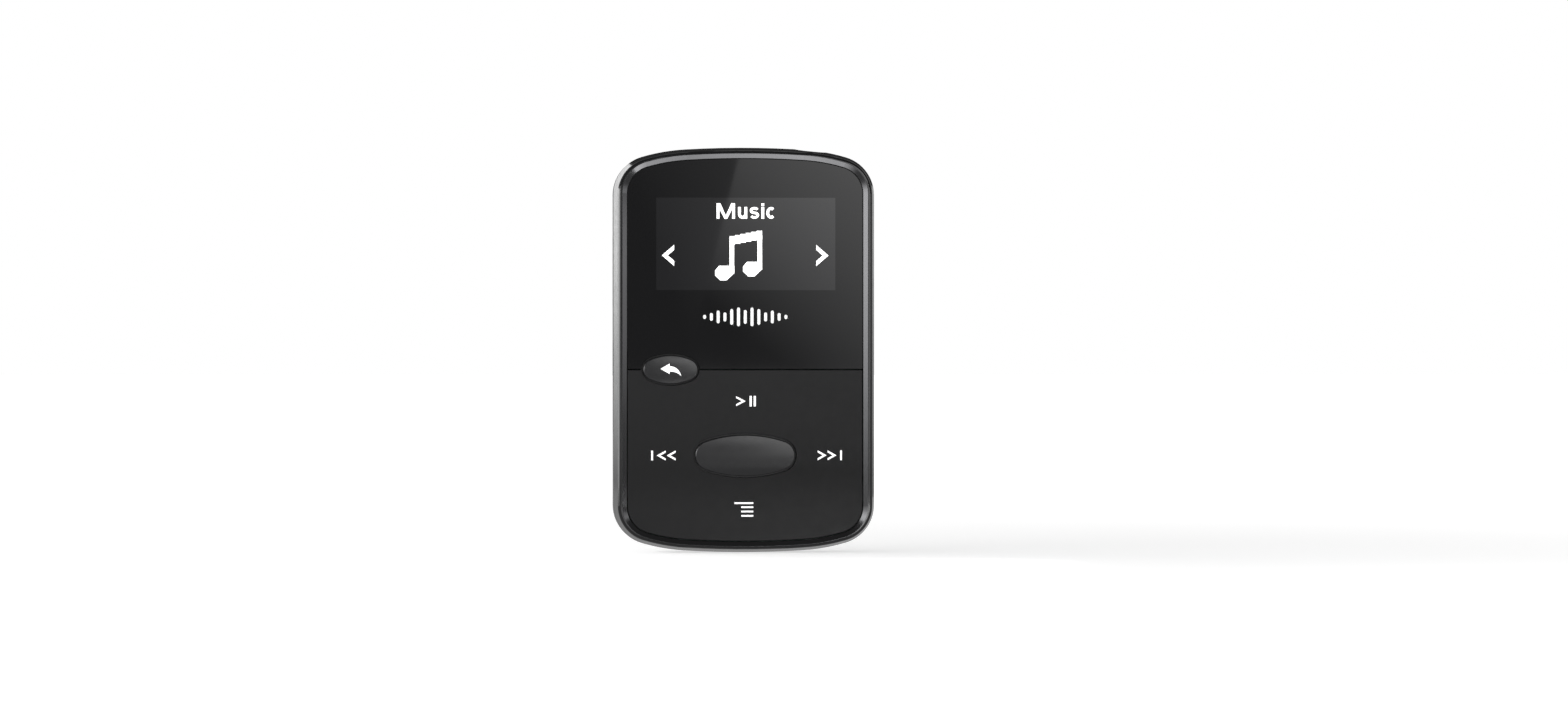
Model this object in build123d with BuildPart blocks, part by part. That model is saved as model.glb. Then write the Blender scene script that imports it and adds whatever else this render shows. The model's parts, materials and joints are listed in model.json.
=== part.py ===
from build123d import *
import math
import os

os.makedirs("parts", exist_ok=True)

# Clip-on digital audio player, in millimetres.
# X is to the right, Z is up and the front faces -Y. The origin is the centre of the
# flat back face, which fabric lies against when the player is worn on its clip.
# "Depth" is measured forwards from that face, so a point at depth d has y = -d, and
# the clip stands behind the face at y > 0.

# ------------------------------------------------------------- driving dimensions

# Body
BODY_HALF_W = 21.63
BODY_HALF_H = 33.5
BODY_DEPTH = 11.0
CORNER_R = 6.5
SHOULDER_R = 31.8
CROWN_TURN = 3.5  # degrees that the crowned ends turn before the shoulder arcs start
SHOULDER_TURN = 13.0
SEAM_DEPTH = 6.2  # the front and rear shells meet here
WALL = 1.4
CAVITY_GAP = 0.3  # between the shells' walls and the board
BACK_EDGE_R = 3.0

# Front panel: glossy lens above, rocking control pad below
PANEL_HALF_W = 19.48
PANEL_HALF_H = 31.6
PANEL_CORNER_R = 4.5
PANEL_SHOULDER_R = 29.8
PANEL_DEPTH = 10.65  # its front surface, a little below the rim
PANEL_GAP = 0.08
RING_WIDTH = 0.76  # the bright trim ring around the panel, with a chamfered front
RING_SEAT_DEPTH = 10.0
RING_LAND = 0.04  # flat left at the ring's outer edge
RIM_EDGE_R = 0.5
FLANK_DEPTH = 7.0  # the sides lean inwards from here to the front
FLANK_LEAN = 9.2  # degrees
SPLIT_Z = -3.24
SPLIT_GAP = 0.12
LENS_THICK = 1.0
PAD_THICK = 1.2
FIT_GAP = 0.02  # around pieces that are pressed or glued in
LEDGE_THICK = 0.5
LEDGE_WIDTH = 1.1
LEDGE_BAR_Z = (-0.3, 1.4)
TAPE_THICK = 0.15

# Control pad and its keys
PAD_Z = -17.4
KEY_UP = 8.9  # from the pad's centre to the upper and lower keys
KEY_SIDE = 14.0
SELECT_HALF = (8.25, 3.4)
SELECT_END_R = 2.45
RETURN_AT = (-12.33, -3.23)
RETURN_HALF = (4.52, 2.36)
RETURN_END_R = 1.75
BUTTON_GAP = 0.27
NUB_R = 1.1
TILT_X_DEPTH = 9.3  # axis of the up and down tilt
TILT_Z_DEPTH = 8.45  # axis of the left and right tilt
ROCKER_RIB_R = 0.6
RUNNING_GAP = 0.05

# Layers inside, by depth
BOARD_BACK = 5.4
BOARD_FRONT = 6.2
DOME_TOP = 6.75
MAT_BACK = 6.85
MAT_TOP = 7.25
FRAME_BACK = 7.3
FRAME_TOP = 8.1
DISPLAY_BACK = 8.1
DISPLAY_FRONT = 9.5

# Display
DISPLAY_HALF_W = 16.7
DISPLAY_Z = (5.4, 27.4)
DRIVER_SHELF = 3.0
DRIVER_HALF_W = 6.0
DRIVER_HEIGHT = 0.4
DRIVER_Z = (6.2, 7.4)
FOAM_AT = (-4.5, 16.5)
FOAM_SIZE = (22.0, 18.0)
FOAM_CORNER_R = 1.0
FLEX_THICK = 0.12
FLEX_GAP = 0.1
FLEX_HALF_W = 5.5
FLEX_TAIL = 1.6  # length bonded to the display
FLEX_TURN = 0.6
FLEX_BEND_R = 0.5
FLEX_SOCKET_HALF_W = 7.2
FLEX_SOCKET_HEIGHT = 1.0
FLEX_SOCKET_CHAMFER = 0.2
FLEX_SOCKET_Z = (0.4, 3.0)
FLEX_SOCKET_DEPTH = 6.7

# Side controls and ports
SIDE_KEY_DEPTH = 4.2
SIDE_KEY_HALF_DEPTH = 1.3
ROCKER_Z = -6.0
ROCKER_HALF_H = 7.3
ROCKER_AXIS_X = -19.4
VOLUME_SWITCH_STEP = 4.5
POWER_X = -10.0
POWER_HALF_W = 4.1
JACK_X = 11.0
JACK_DEPTH = 5.4
JACK_BORE_R = 1.8
JACK_NOSE_R = 2.95
JACK_BODY = (6.5, 5.0)
JACK_Z = (18.6, 31.0)
JACK_NOSE_Z = 32.6
USB_Z = 9.0
USB_DEPTH = 4.0
CARD_Z = 13.0
CARD_DEPTH = 4.45

# Clip
CLIP_PIVOT_Y = 2.9
CLIP_PIVOT_Z = 9.0
CLIP_HALF_W = 11.5
CLIP_TOP_Z = 24.0
CLIP_FOOT_Z = -25.5
CLIP_BACK_Y = 6.5
CLIP_ARM = 1.8
CLIP_PIN_R = 0.75
CLIP_LUG_R = 1.55
CLIP_EAR_X = (7.5, 9.5)
BODY_LUG_X = (5.0, 7.2)
LUG_FOOT = 3.2
JAW_Z = (-24.3, -22.0, -19.7)
JAW_HALF_W = 7.0
JAW_RIB_W = 0.6
JAW_RIB_H = 0.2
JAW_RIB_STEP = 1.3
JAW_GAP = 0.3
CLIP_BEND_Z = -5.0
CLIP_FOOT_Y = (1.2, 2.9)
CLIP_CORNER_R = 5.0
CLIP_EDGE_R = 0.6
PRESS_GAP = 0.01
THUMB_RIB_Z = 19.0
THUMB_RIB_STEP = 1.9
THUMB_RIB_W = 13.0
THUMB_RIB_H = 0.9
THUMB_GROOVE = 0.35
PAD_POCKET_X = 7.0
PAD_POCKET_Y = 2.0
SPRING_R = 1.25
SPRING_WIRE_R = 0.3
SPRING_TURNS = 5.5
SPRING_COIL_W = 3.85
SPRING_LEG = 7.0
SPRING_SEAT_Z = (14.0, 16.5)
SPRING_SEAT_H = 1.3
SPRING_SEAT_X = (-3.2, -0.7)
PIN_END_GAP = 0.1
PIN_CHAMFER = 0.15
CLIP_PAD_EDGE_R = 0.3

# Fasteners
SCREW_AT = [(18.5, 23.5), (-18.5, 23.5), (18.5, -23.5), (-18.5, -23.5)]
SCREW_R = 0.78
SCREW_BITE = 1.8
SCREW_CLEAR = 0.3
BOSS_R = 1.6

# Small features
SEAM_CHAMFER = 0.12
EDGE_BREAK = 0.08
PAD_EDGE_R = 0.1
PAD_SIDE_GAP = 0.07
BUTTON_EDGE_R = 0.2
TAPE_INSET = 0.15
JACK_NOSE_GAP = 0.12
SIDE_KEY_GAP = 0.14
PORT_GAP = 0.15
CARD_SLOT = (11.8, 1.2)
USB_HALF = (3.75, 1.3)
USB_CORNER = 0.8
POWER_WALL_Z = 30.0
TRUNNION_R = 0.6
SEAT_WALL = 0.5
SEAT_HEIGHT = 0.8
NUB_DEPTH = 7.55
STEM_DEPTH = 7.68
KEY_HOLE_GAP = 0.5
PAD_RIB_X = (9.8, 12.0)
PAD_RIB_ROOT = 1.0
CRADLE_DEPTH = (8.35, 9.15)
CRADLE_HALF = (12.4, 7.3)
CRADLE_HOLE = (9.2, 4.4)
CRADLE_RIB_Z = (4.9, 6.9)
CRADLE_CORNER_R = 1.5
KEYPAD_FRAME_Z = (-30.2, -6.6)
KEYPAD_FRAME_HALF_W = 16.5
KEYPAD_FRAME_CORNER_R = 3.0
GROOVE_SPARE = 0.3
MAT_TONGUE = (7.0, 8.0)
MAT_TONGUE_DROP = 2.0
MAT_TONGUE_R = 1.5
FOOT_X = 14.6
FOOT_Z = 9.5
FOOT_R = 1.0
FOOT_GAP = 0.2
SELECT_FLANGE = (8.72, 9.2)
SELECT_FLANGE_OUT = 0.55
SELECT_CREST = 10.95
SELECT_FALL = (0.25, 0.3)
RETURN_FLANGE = (8.2, 8.65)
RETURN_FLANGE_OUT = 0.35
RETURN_CREST = 10.9
RETURN_FALL = (0.2, 0.22)
SIDE_KEY_FACE_X = 21.5
SIDE_KEY_EDGE_R = 0.25
ROCKER_FLANGE_X = (-19.8, -19.25)
ROCKER_FLANGE_HALF_DEPTH = 1.75
ROCKER_FLANGE_OUT = 0.6
ROCKER_NUB_OUT = 0.25
ROCKER_NUB_HALF = (0.6, 0.8)
ROCKER_END_R = 1.17
ROCKER_DIP = 0.25
ROCKER_DIP_R = 24.0
TRUNNION_END_GAP = 0.1
VOLUME_SWITCH_X = -18.4
POWER_RECESS = 0.08
POWER_FLANGE_Z = (30.3, 30.85)
POWER_FLANGE_OUT = 0.6
POWER_SWITCH_Z = 29.4
SWITCH_HALF_LONG = 2.0
SWITCH_DEEP = 2.2
SWITCH_THICK = 1.7
PLUNGER_OUT = 0.35
PLUNGER_HALF = (0.4, 0.6)
JACK_FLOOR_Z = 19.2
JACK_CONTACT_Z = (21.5, 25.0, 28.5)
JACK_NOSE_CHAMFER = 0.2
JACK_SLOT_HALF = (0.6, 0.7)
JACK_SLOT_BITE = 0.5  # how far each slot reaches into the bore
CONTACT_HALF = (0.5, 0.15)
CONTACT_INSET = 0.3
CONTACT_CLEAR = 0.12
USB_X = (15.9, 21.2)
USB_CORE = 1.4
USB_TONGUE_DEPTH = (3.9, 4.5)
USB_TONGUE_HALF_W = 2.6
USB_TONGUE_SHORT = 0.6
SHELL_THICK = 0.28
CARD_X = (-19.9, -5.2)
CARD_SOCKET_Z = (6.2, 19.8)
CARD_BASE_THICK = 0.45
CARD_COVER_HEIGHT = 1.9
CARD_COVER_LIP = 1.0
COVER_THICK = 0.18
BOARD_CUT_GAP = 0.2
BOARD_CUT_WIDE = 1.0
DOME_R = 1.7
DOME_BASE_HALF = 2.1
DOME_BASE_THICK = 0.25
DOME_KNEE = (0.55, 0.7)  # a point on the dome, as shares of its radius and its rise
CHIP_CHAMFER = 0.12
CHIP_DIMPLE_R = 0.3
CHIP_DIMPLE_IN = 1.0
CHIP_TALL = 0.9
CHIP_LOW = 0.8
PROCESSOR_X = (-12.0, -3.0)
PROCESSOR_Z = (9.5, 18.5)
FLASH_X = (-0.5, 5.8)
FLASH_Z = (9.0, 19.0)
POWER_CHIP_X = (0.2, 5.2)
POWER_CHIP_Z = (10.0, 15.0)
RADIO_CHIP_X = (0.8, 4.8)
RADIO_CHIP_Z = (19.0, 23.0)
CRYSTAL_X = (-3.6, -0.4)
CRYSTAL_Z = (22.5, 25.0)
CRYSTAL_HEIGHT = 0.7
CRYSTAL_EDGE_R = 0.25
INDUCTOR_X = (6.4, 10.4)
INDUCTOR_Z = (10.2, 14.2)
INDUCTOR_HEIGHT = 1.8
INDUCTOR_CORNER_R = 0.8
CAPACITOR_HALF = (0.5, 0.25)
CAPACITOR_HEIGHT = 0.5
CAPACITOR_AT = [
    (7.0, 8.6), (8.6, 8.6), (10.2, 8.6), (6.6, 16.0),
    (6.6, 17.6), (-3.6, 21.2), (-1.8, 21.2), (2.8, 17.2),
]
SCREW_HEAD_R = 1.3
SCREW_HEAD = 0.9
SCREW_HEAD_EDGE_R = 0.25
CROSS_LONG = 1.7
CROSS_WIDE = 0.3
CROSS_DEEP = 0.45
SCREW_HOLE_GAP = 0.1

# Battery
BATTERY_X = (-14.0, 14.0)
BATTERY_DEPTH = (1.55, 4.75)
BATTERY_Z = (-28.5, 1.9)
GUARD_X = (-9.0, 9.0)
GUARD_DEPTH = (2.5, 3.3)
GUARD_Z = (1.9, 4.8)
WIRE_R = 0.35
WIRE_BEND_R = 1.1
WIRE_RUN = 2.4
WIRE_X = (2.0, 3.4)
BATTERY_EDGE_R = 1.2
BATTERY_TAPE_MARGIN = 2.0


# ------------------------------------------------------------------ shared shapes

def at_depth(depth):
    """The upright plane at a depth, with X to the right, Z up and its normal to the front."""
    return Plane.XZ.offset(depth)


def cushion(half_w, half_h, corner_r, shoulder_r):
    """A straight-sided outline whose top and bottom are crowned, made of tangent arcs."""
    crown = math.radians(CROWN_TURN)
    knee = math.radians(CROWN_TURN + SHOULDER_TURN)
    shoulder_w = shoulder_r * (math.sin(knee) - math.sin(crown))
    crown_w = half_w - shoulder_w - corner_r * (1 - math.sin(knee))
    with BuildSketch() as outline:
        with BuildLine():
            top = JernArc((0, half_h), (1, 0), crown_w / math.sin(crown), -CROWN_TURN)
            shoulder = JernArc(top @ 1, top % 1, shoulder_r, -SHOULDER_TURN)
            corner = JernArc(shoulder @ 1, shoulder % 1, corner_r, CROWN_TURN + SHOULDER_TURN - 90)
            Line(corner @ 1, (half_w, 0))
            mirror(about=Plane.XZ)
            mirror(about=Plane.YZ)
        make_face()
    return outline.sketch


def body_outline(inset=0.0):
    """The body's outline, moved inwards."""
    return cushion(
        BODY_HALF_W - inset, BODY_HALF_H - inset, CORNER_R - inset, SHOULDER_R - inset
    )


def panel_outline(grow=0.0):
    """The front panel's outline, moved outwards."""
    return cushion(
        PANEL_HALF_W + grow, PANEL_HALF_H + grow, PANEL_CORNER_R + grow, PANEL_SHOULDER_R + grow
    )


def oval(half_w, half_h, end_r):
    """A squarish oval of tangent arcs, with the ends' radius given."""
    turn = 2 * math.atan2(half_h - end_r, half_w - end_r)
    side_r = end_r + (half_w - end_r) / math.sin(turn)
    with BuildSketch() as outline:
        with BuildLine():
            side = JernArc((0, half_h), (1, 0), side_r, -math.degrees(turn))
            JernArc(side @ 1, side % 1, end_r, math.degrees(turn) - 90)
            mirror(about=Plane.XZ)
            mirror(about=Plane.YZ)
        make_face()
    return outline.sketch


def select_outline(grow=0.0):
    """The select button's outline, or the hole around it."""
    return oval(SELECT_HALF[0] + grow, SELECT_HALF[1] + grow, SELECT_END_R + grow)


def return_outline(grow=0.0):
    """The return button's outline, or the notch around it."""
    return oval(RETURN_HALF[0] + grow, RETURN_HALF[1] + grow, RETURN_END_R + grow)


def barrel(x, z, half_w, half_h, crest_depth, rise_w, rise_h):
    """A large round body whose front crowns a button: it falls by rise_w and rise_h at its edges."""
    long_r = (half_h**2 + rise_h**2) / (2 * rise_h)
    axis_y = long_r - crest_depth
    with BuildPart() as crown:
        with BuildSketch(Plane.XY.offset(z)):
            with BuildLine():
                ThreePointArc(
                    (x - half_w, rise_w - crest_depth),
                    (x, -crest_depth),
                    (x + half_w, rise_w - crest_depth),
                )
                Polyline(
                    (x + half_w, rise_w - crest_depth),
                    (x + half_w, axis_y),
                    (x - half_w, axis_y),
                    (x - half_w, rise_w - crest_depth),
                )
            make_face()
        revolve(axis=Axis((x, axis_y, z), (1, 0, 0)))
    return crown.part


def block(x_range, depth_range, z_range):
    """A plain box between two values of X, of depth and of Z."""
    size = (
        x_range[1] - x_range[0],
        depth_range[1] - depth_range[0],
        z_range[1] - z_range[0],
    )
    centre = (sum(x_range) / 2, -sum(depth_range) / 2, sum(z_range) / 2)
    return Pos(*centre) * Box(*size, mode=Mode.PRIVATE)


def keep_above(z):
    """Cut the open sketch down to what lies above a height."""
    with Locations((0, z)):
        Rectangle(
            4 * BODY_HALF_W,
            4 * BODY_HALF_H,
            align=(Align.CENTER, Align.MIN),
            mode=Mode.INTERSECT,
        )


def port_outline(half_long, half_thick, corner_cut):
    """A micro-USB shell's outline, lying along X, with its two lower corners cut."""
    with BuildSketch() as outline:
        with BuildLine():
            Polyline(
                (-half_long, half_thick),
                (half_long, half_thick),
                (half_long, corner_cut - half_thick),
                (half_long - corner_cut, -half_thick),
                (corner_cut - half_long, -half_thick),
                (-half_long, corner_cut - half_thick),
                close=True,
            )
        make_face()
    return outline.sketch


LENS_BACK = PANEL_DEPTH - LENS_THICK
LEDGE_TOP = LENS_BACK - TAPE_THICK
LEDGE_BACK = LEDGE_TOP - LEDGE_THICK
PAD_BACK = PANEL_DEPTH - PAD_THICK
KEY_SPOTS = {
    "up": (0, PAD_Z + KEY_UP),
    "down": (0, PAD_Z - KEY_UP),
    "left": (-KEY_SIDE, PAD_Z),
    "right": (KEY_SIDE, PAD_Z),
}

# ------------------------------------------------------------------ front housing

with BuildPart() as front_housing:
    with BuildSketch(at_depth(SEAM_DEPTH)):
        add(body_outline())
    extrude(amount=FLANK_DEPTH - SEAM_DEPTH)
    with BuildSketch(at_depth(FLANK_DEPTH)):
        add(body_outline())
    extrude(amount=BODY_DEPTH - FLANK_DEPTH, taper=FLANK_LEAN)
    front_rim = front_housing.faces().sort_by(Axis.Y)[0].edges()
    fillet(front_rim, radius=RIM_EDGE_R)
    # A step that the trim ring is pressed into
    with BuildSketch(at_depth(RING_SEAT_DEPTH)):
        add(panel_outline(PANEL_GAP + RING_WIDTH + FIT_GAP))
    extrude(amount=BODY_DEPTH - RING_SEAT_DEPTH, mode=Mode.SUBTRACT)
    # The panel's opening, and the wider cavity behind it
    with BuildSketch(at_depth(LEDGE_BACK)):
        add(panel_outline(PANEL_GAP))
    extrude(amount=PANEL_DEPTH - LEDGE_BACK, mode=Mode.SUBTRACT)
    with BuildSketch(at_depth(SEAM_DEPTH)):
        add(body_outline(WALL))
    extrude(amount=LEDGE_BACK - SEAM_DEPTH, mode=Mode.SUBTRACT)
    # The ledge that the lens is taped to, with a bar across above the return button
    with BuildSketch(at_depth(LEDGE_BACK)):
        add(panel_outline(PANEL_GAP))
        keep_above(LEDGE_BAR_Z[0])
        with BuildSketch(mode=Mode.SUBTRACT):
            add(panel_outline(PANEL_GAP - LEDGE_WIDTH))
            keep_above(LEDGE_BAR_Z[1])
    extrude(amount=LEDGE_THICK)
    # Bosses for the board's screws
    with BuildSketch(at_depth(BOARD_FRONT)):
        with Locations(*SCREW_AT):
            Circle(BOSS_R)
        add(body_outline(WALL / 2), mode=Mode.INTERSECT)
    extrude(amount=LEDGE_BACK - BOARD_FRONT)
    with BuildSketch(at_depth(BOARD_FRONT)):
        with Locations(*SCREW_AT):
            Circle(SCREW_R)
    extrude(amount=SCREW_BITE + SCREW_CLEAR, mode=Mode.SUBTRACT)
    # The headphone jack's nose passes through the top wall
    with BuildSketch(Plane.XY.offset(JACK_Z[1])):
        with Locations((JACK_X, -JACK_DEPTH)):
            Circle(JACK_NOSE_R + JACK_NOSE_GAP)
    extrude(amount=BODY_HALF_H - JACK_Z[1], mode=Mode.SUBTRACT)

front_housing.part.label = "front_housing"

with BuildPart() as trim_ring:
    with BuildSketch(at_depth(RING_SEAT_DEPTH)):
        add(panel_outline(PANEL_GAP + RING_WIDTH))
        with BuildSketch(mode=Mode.SUBTRACT):
            add(panel_outline(PANEL_GAP))
    extrude(amount=BODY_DEPTH - RING_SEAT_DEPTH)
    # Its front is a chamfer that leads down to the recessed panel
    with BuildSketch(at_depth(PANEL_DEPTH)):
        add(panel_outline(PANEL_GAP))
    with BuildSketch(at_depth(BODY_DEPTH)):
        add(panel_outline(PANEL_GAP + RING_WIDTH - RING_LAND))
    loft(ruled=True, mode=Mode.SUBTRACT)

trim_ring.part.label = "trim_ring"

# ------------------------------------------------------------------- rear housing

with BuildPart() as rear_housing:
    with BuildSketch(at_depth(0)):
        add(body_outline())
    extrude(amount=SEAM_DEPTH)
    back_rim = rear_housing.faces().sort_by(Axis.Y)[-1].edges()
    fillet(back_rim, radius=BACK_EDGE_R)
    seam_rim = rear_housing.faces().sort_by(Axis.Y)[0].edges()
    chamfer(seam_rim, length=SEAM_CHAMFER)
    with BuildSketch(at_depth(WALL)):
        add(body_outline(WALL))
    extrude(amount=SEAM_DEPTH - WALL, mode=Mode.SUBTRACT)
    # Lugs that carry the clip's pin
    with BuildSketch(Plane.YZ):
        with BuildLine():
            Polyline(
                (-WALL / 2, CLIP_PIVOT_Z - LUG_FOOT),
                (-WALL / 2, CLIP_PIVOT_Z + LUG_FOOT),
                (CLIP_PIVOT_Y, CLIP_PIVOT_Z + CLIP_LUG_R),
                (CLIP_PIVOT_Y, CLIP_PIVOT_Z - CLIP_LUG_R),
                close=True,
            )
        make_face()
        with Locations((CLIP_PIVOT_Y, CLIP_PIVOT_Z)):
            Circle(CLIP_LUG_R)
            Circle(CLIP_PIN_R + RUNNING_GAP, mode=Mode.SUBTRACT)
    extrude(amount=BODY_LUG_X[1], both=True)
    add(
        block((-BODY_LUG_X[0], BODY_LUG_X[0]), (-CLIP_BACK_Y, 0), (0, 2 * CLIP_PIVOT_Z)),
        mode=Mode.SUBTRACT,
    )
    # A seat for the spring's leg
    add(block(SPRING_SEAT_X, (-SPRING_SEAT_H, WALL / 2), SPRING_SEAT_Z))
    # Ribs under the clip's jaw, so that fabric is held
    with BuildSketch(at_depth(WALL / 2)):
        with Locations((0, JAW_Z[1])):
            with GridLocations(0, JAW_RIB_STEP, 1, 3):
                SlotOverall(2 * JAW_HALF_W, JAW_RIB_W)
    extrude(amount=-(WALL / 2 + JAW_RIB_H))
    # Openings in the side walls: volume rocker, card slot, USB port, power button, jack
    add(
        block(
            (-BODY_HALF_W - 1, WALL - BODY_HALF_W),
            (SIDE_KEY_DEPTH - SIDE_KEY_HALF_DEPTH - SIDE_KEY_GAP,
             SIDE_KEY_DEPTH + SIDE_KEY_HALF_DEPTH + SIDE_KEY_GAP),
            (ROCKER_Z - ROCKER_HALF_H - 2 * SIDE_KEY_GAP,
             ROCKER_Z + ROCKER_HALF_H + 2 * SIDE_KEY_GAP),
        ),
        mode=Mode.SUBTRACT,
    )
    with BuildSketch(Plane.YZ.offset(-BODY_HALF_W)):
        with Locations((-CARD_DEPTH, CARD_Z)):
            SlotOverall(CARD_SLOT[0], CARD_SLOT[1], rotation=90)
    extrude(amount=WALL, mode=Mode.SUBTRACT)
    with BuildSketch(Plane.YZ.offset(BODY_HALF_W)):
        with Locations(Location((-USB_DEPTH, USB_Z), 90)):
            add(port_outline(USB_HALF[0] + PORT_GAP, USB_HALF[1] + PORT_GAP, USB_CORNER))
    extrude(amount=-WALL, mode=Mode.SUBTRACT)
    with BuildSketch(Plane.XY.offset(POWER_WALL_Z)):
        with Locations((POWER_X, -SIDE_KEY_DEPTH)):
            SlotOverall(
                2 * (POWER_HALF_W + SIDE_KEY_GAP), 2 * (SIDE_KEY_HALF_DEPTH + SIDE_KEY_GAP)
            )
    extrude(amount=BODY_HALF_H - POWER_WALL_Z, mode=Mode.SUBTRACT)
    with BuildSketch(Plane.XY.offset(JACK_Z[1])):
        with Locations((JACK_X, -JACK_DEPTH)):
            Circle(JACK_NOSE_R + JACK_NOSE_GAP)
    extrude(amount=BODY_HALF_H - JACK_Z[1], mode=Mode.SUBTRACT)
    # A seat for the volume rocker's trunnion
    with BuildSketch(at_depth(WALL)):
        with Locations((ROCKER_AXIS_X, ROCKER_Z)):
            Circle(TRUNNION_R + SEAT_WALL)
    extrude(amount=SEAT_HEIGHT)
    with BuildSketch(at_depth(WALL)):
        with Locations((ROCKER_AXIS_X, ROCKER_Z)):
            Circle(TRUNNION_R + RUNNING_GAP)
    extrude(amount=SEAT_HEIGHT, mode=Mode.SUBTRACT)

rear_housing.part.label = "rear_housing"

# ------------------------------------------------------------- lens and display

with BuildPart() as screen_lens:
    with BuildSketch(at_depth(LENS_BACK)):
        add(panel_outline())
        keep_above(SPLIT_Z + SPLIT_GAP / 2)
        with Locations(RETURN_AT):
            add(return_outline(BUTTON_GAP), mode=Mode.SUBTRACT)
    extrude(amount=LENS_THICK)
    chamfer(screen_lens.faces().sort_by(Axis.Y)[0].edges(), length=EDGE_BREAK)

screen_lens.part.label = "screen_lens"

with BuildPart() as lens_tape:
    with BuildSketch(at_depth(LEDGE_TOP)):
        add(panel_outline(-TAPE_INSET))
        keep_above(LEDGE_BAR_Z[0] + TAPE_INSET)
        with BuildSketch(mode=Mode.SUBTRACT):
            add(panel_outline(PANEL_GAP - LEDGE_WIDTH))
            keep_above(LEDGE_BAR_Z[1])
    extrude(amount=TAPE_THICK)

lens_tape.part.label = "lens_tape"

with BuildPart() as display_panel:
    # Two bonded glasses: the rear one is longer and carries the driver at its foot
    glass_mid = (DISPLAY_BACK + DISPLAY_FRONT) / 2
    add(block((-DISPLAY_HALF_W, DISPLAY_HALF_W), (DISPLAY_BACK, glass_mid), DISPLAY_Z))
    add(
        block(
            (-DISPLAY_HALF_W, DISPLAY_HALF_W),
            (glass_mid, DISPLAY_FRONT),
            (DISPLAY_Z[0] + DRIVER_SHELF, DISPLAY_Z[1]),
        )
    )
    # Driver chip on the shelf
    add(
        block((-DRIVER_HALF_W, DRIVER_HALF_W), (glass_mid, glass_mid + DRIVER_HEIGHT), DRIVER_Z)
    )

display_panel.part.label = "display_panel"

with BuildPart() as display_flex:
    # A ribbon that leaves the panel's back, bends back and runs down to its socket
    with BuildSketch(Plane.YZ):
        with BuildLine():
            FilletPolyline(
                (FLEX_GAP - DISPLAY_BACK, DISPLAY_Z[0] + FLEX_TAIL),
                (FLEX_GAP - DISPLAY_BACK, DISPLAY_Z[0] - FLEX_TURN),
                (-FLEX_SOCKET_DEPTH, FLEX_SOCKET_Z[1] + FLEX_TURN),
                (-FLEX_SOCKET_DEPTH, FLEX_SOCKET_Z[1] + FIT_GAP),
                radius=FLEX_BEND_R,
            )
        trace(line_width=FLEX_THICK)
    extrude(amount=FLEX_HALF_W, both=True)

display_flex.part.label = "display_flex"

with BuildPart() as flex_socket:
    add(
        block(
            (-FLEX_SOCKET_HALF_W, FLEX_SOCKET_HALF_W),
            (BOARD_FRONT, BOARD_FRONT + FLEX_SOCKET_HEIGHT),
            FLEX_SOCKET_Z,
        )
    )
    front_edges = flex_socket.edges().filter_by(Axis.X).group_by(Axis.Y)[0]
    chamfer(front_edges, length=FLEX_SOCKET_CHAMFER)

flex_socket.part.label = "flex_socket"

with BuildPart() as display_foam:
    with BuildSketch(at_depth(FRAME_BACK)):
        with Locations(FOAM_AT):
            RectangleRounded(*FOAM_SIZE, FOAM_CORNER_R)
    extrude(amount=DISPLAY_BACK - FRAME_BACK)

display_foam.part.label = "display_foam"

# --------------------------------------------------------------- front controls

with BuildPart() as nav_pad:
    with BuildSketch(at_depth(PAD_BACK)):
        add(panel_outline(-PAD_SIDE_GAP))
        with Locations((0, SPLIT_Z - SPLIT_GAP / 2)):
            Rectangle(
                4 * BODY_HALF_W,
                2 * BODY_HALF_H,
                align=(Align.CENTER, Align.MAX),
                mode=Mode.INTERSECT,
            )
        with Locations((0, PAD_Z)):
            add(select_outline(BUTTON_GAP), mode=Mode.SUBTRACT)
        with Locations(RETURN_AT):
            add(return_outline(BUTTON_GAP), mode=Mode.SUBTRACT)
    extrude(amount=PAD_THICK)
    fillet(nav_pad.faces().sort_by(Axis.Y)[0].edges(), radius=PAD_EDGE_R)
    # Nubs that press the four keys
    with BuildSketch(at_depth(NUB_DEPTH)):
        with Locations(*KEY_SPOTS.values()):
            Circle(NUB_R)
    extrude(amount=PAD_BACK - NUB_DEPTH)
    # Half-round ribs that rock in the cradle, left and right of the select button
    for side in (-1, 1):
        with BuildSketch(Plane.YZ.offset(side * PAD_RIB_X[0])):
            with Locations((-TILT_X_DEPTH, PAD_Z)):
                Circle(ROCKER_RIB_R)
                Rectangle(2 * ROCKER_RIB_R, 2 * ROCKER_RIB_R, align=(Align.MAX, Align.CENTER))
            with Locations((-PAD_BACK, PAD_Z)):
                Rectangle(
                    PAD_RIB_ROOT,
                    2 * PAD_RIB_ROOT,
                    align=(Align.MAX, Align.CENTER),
                    mode=Mode.SUBTRACT,
                )
        extrude(amount=side * (PAD_RIB_X[1] - PAD_RIB_X[0]))

nav_pad.part.label = "nav_pad"

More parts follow.
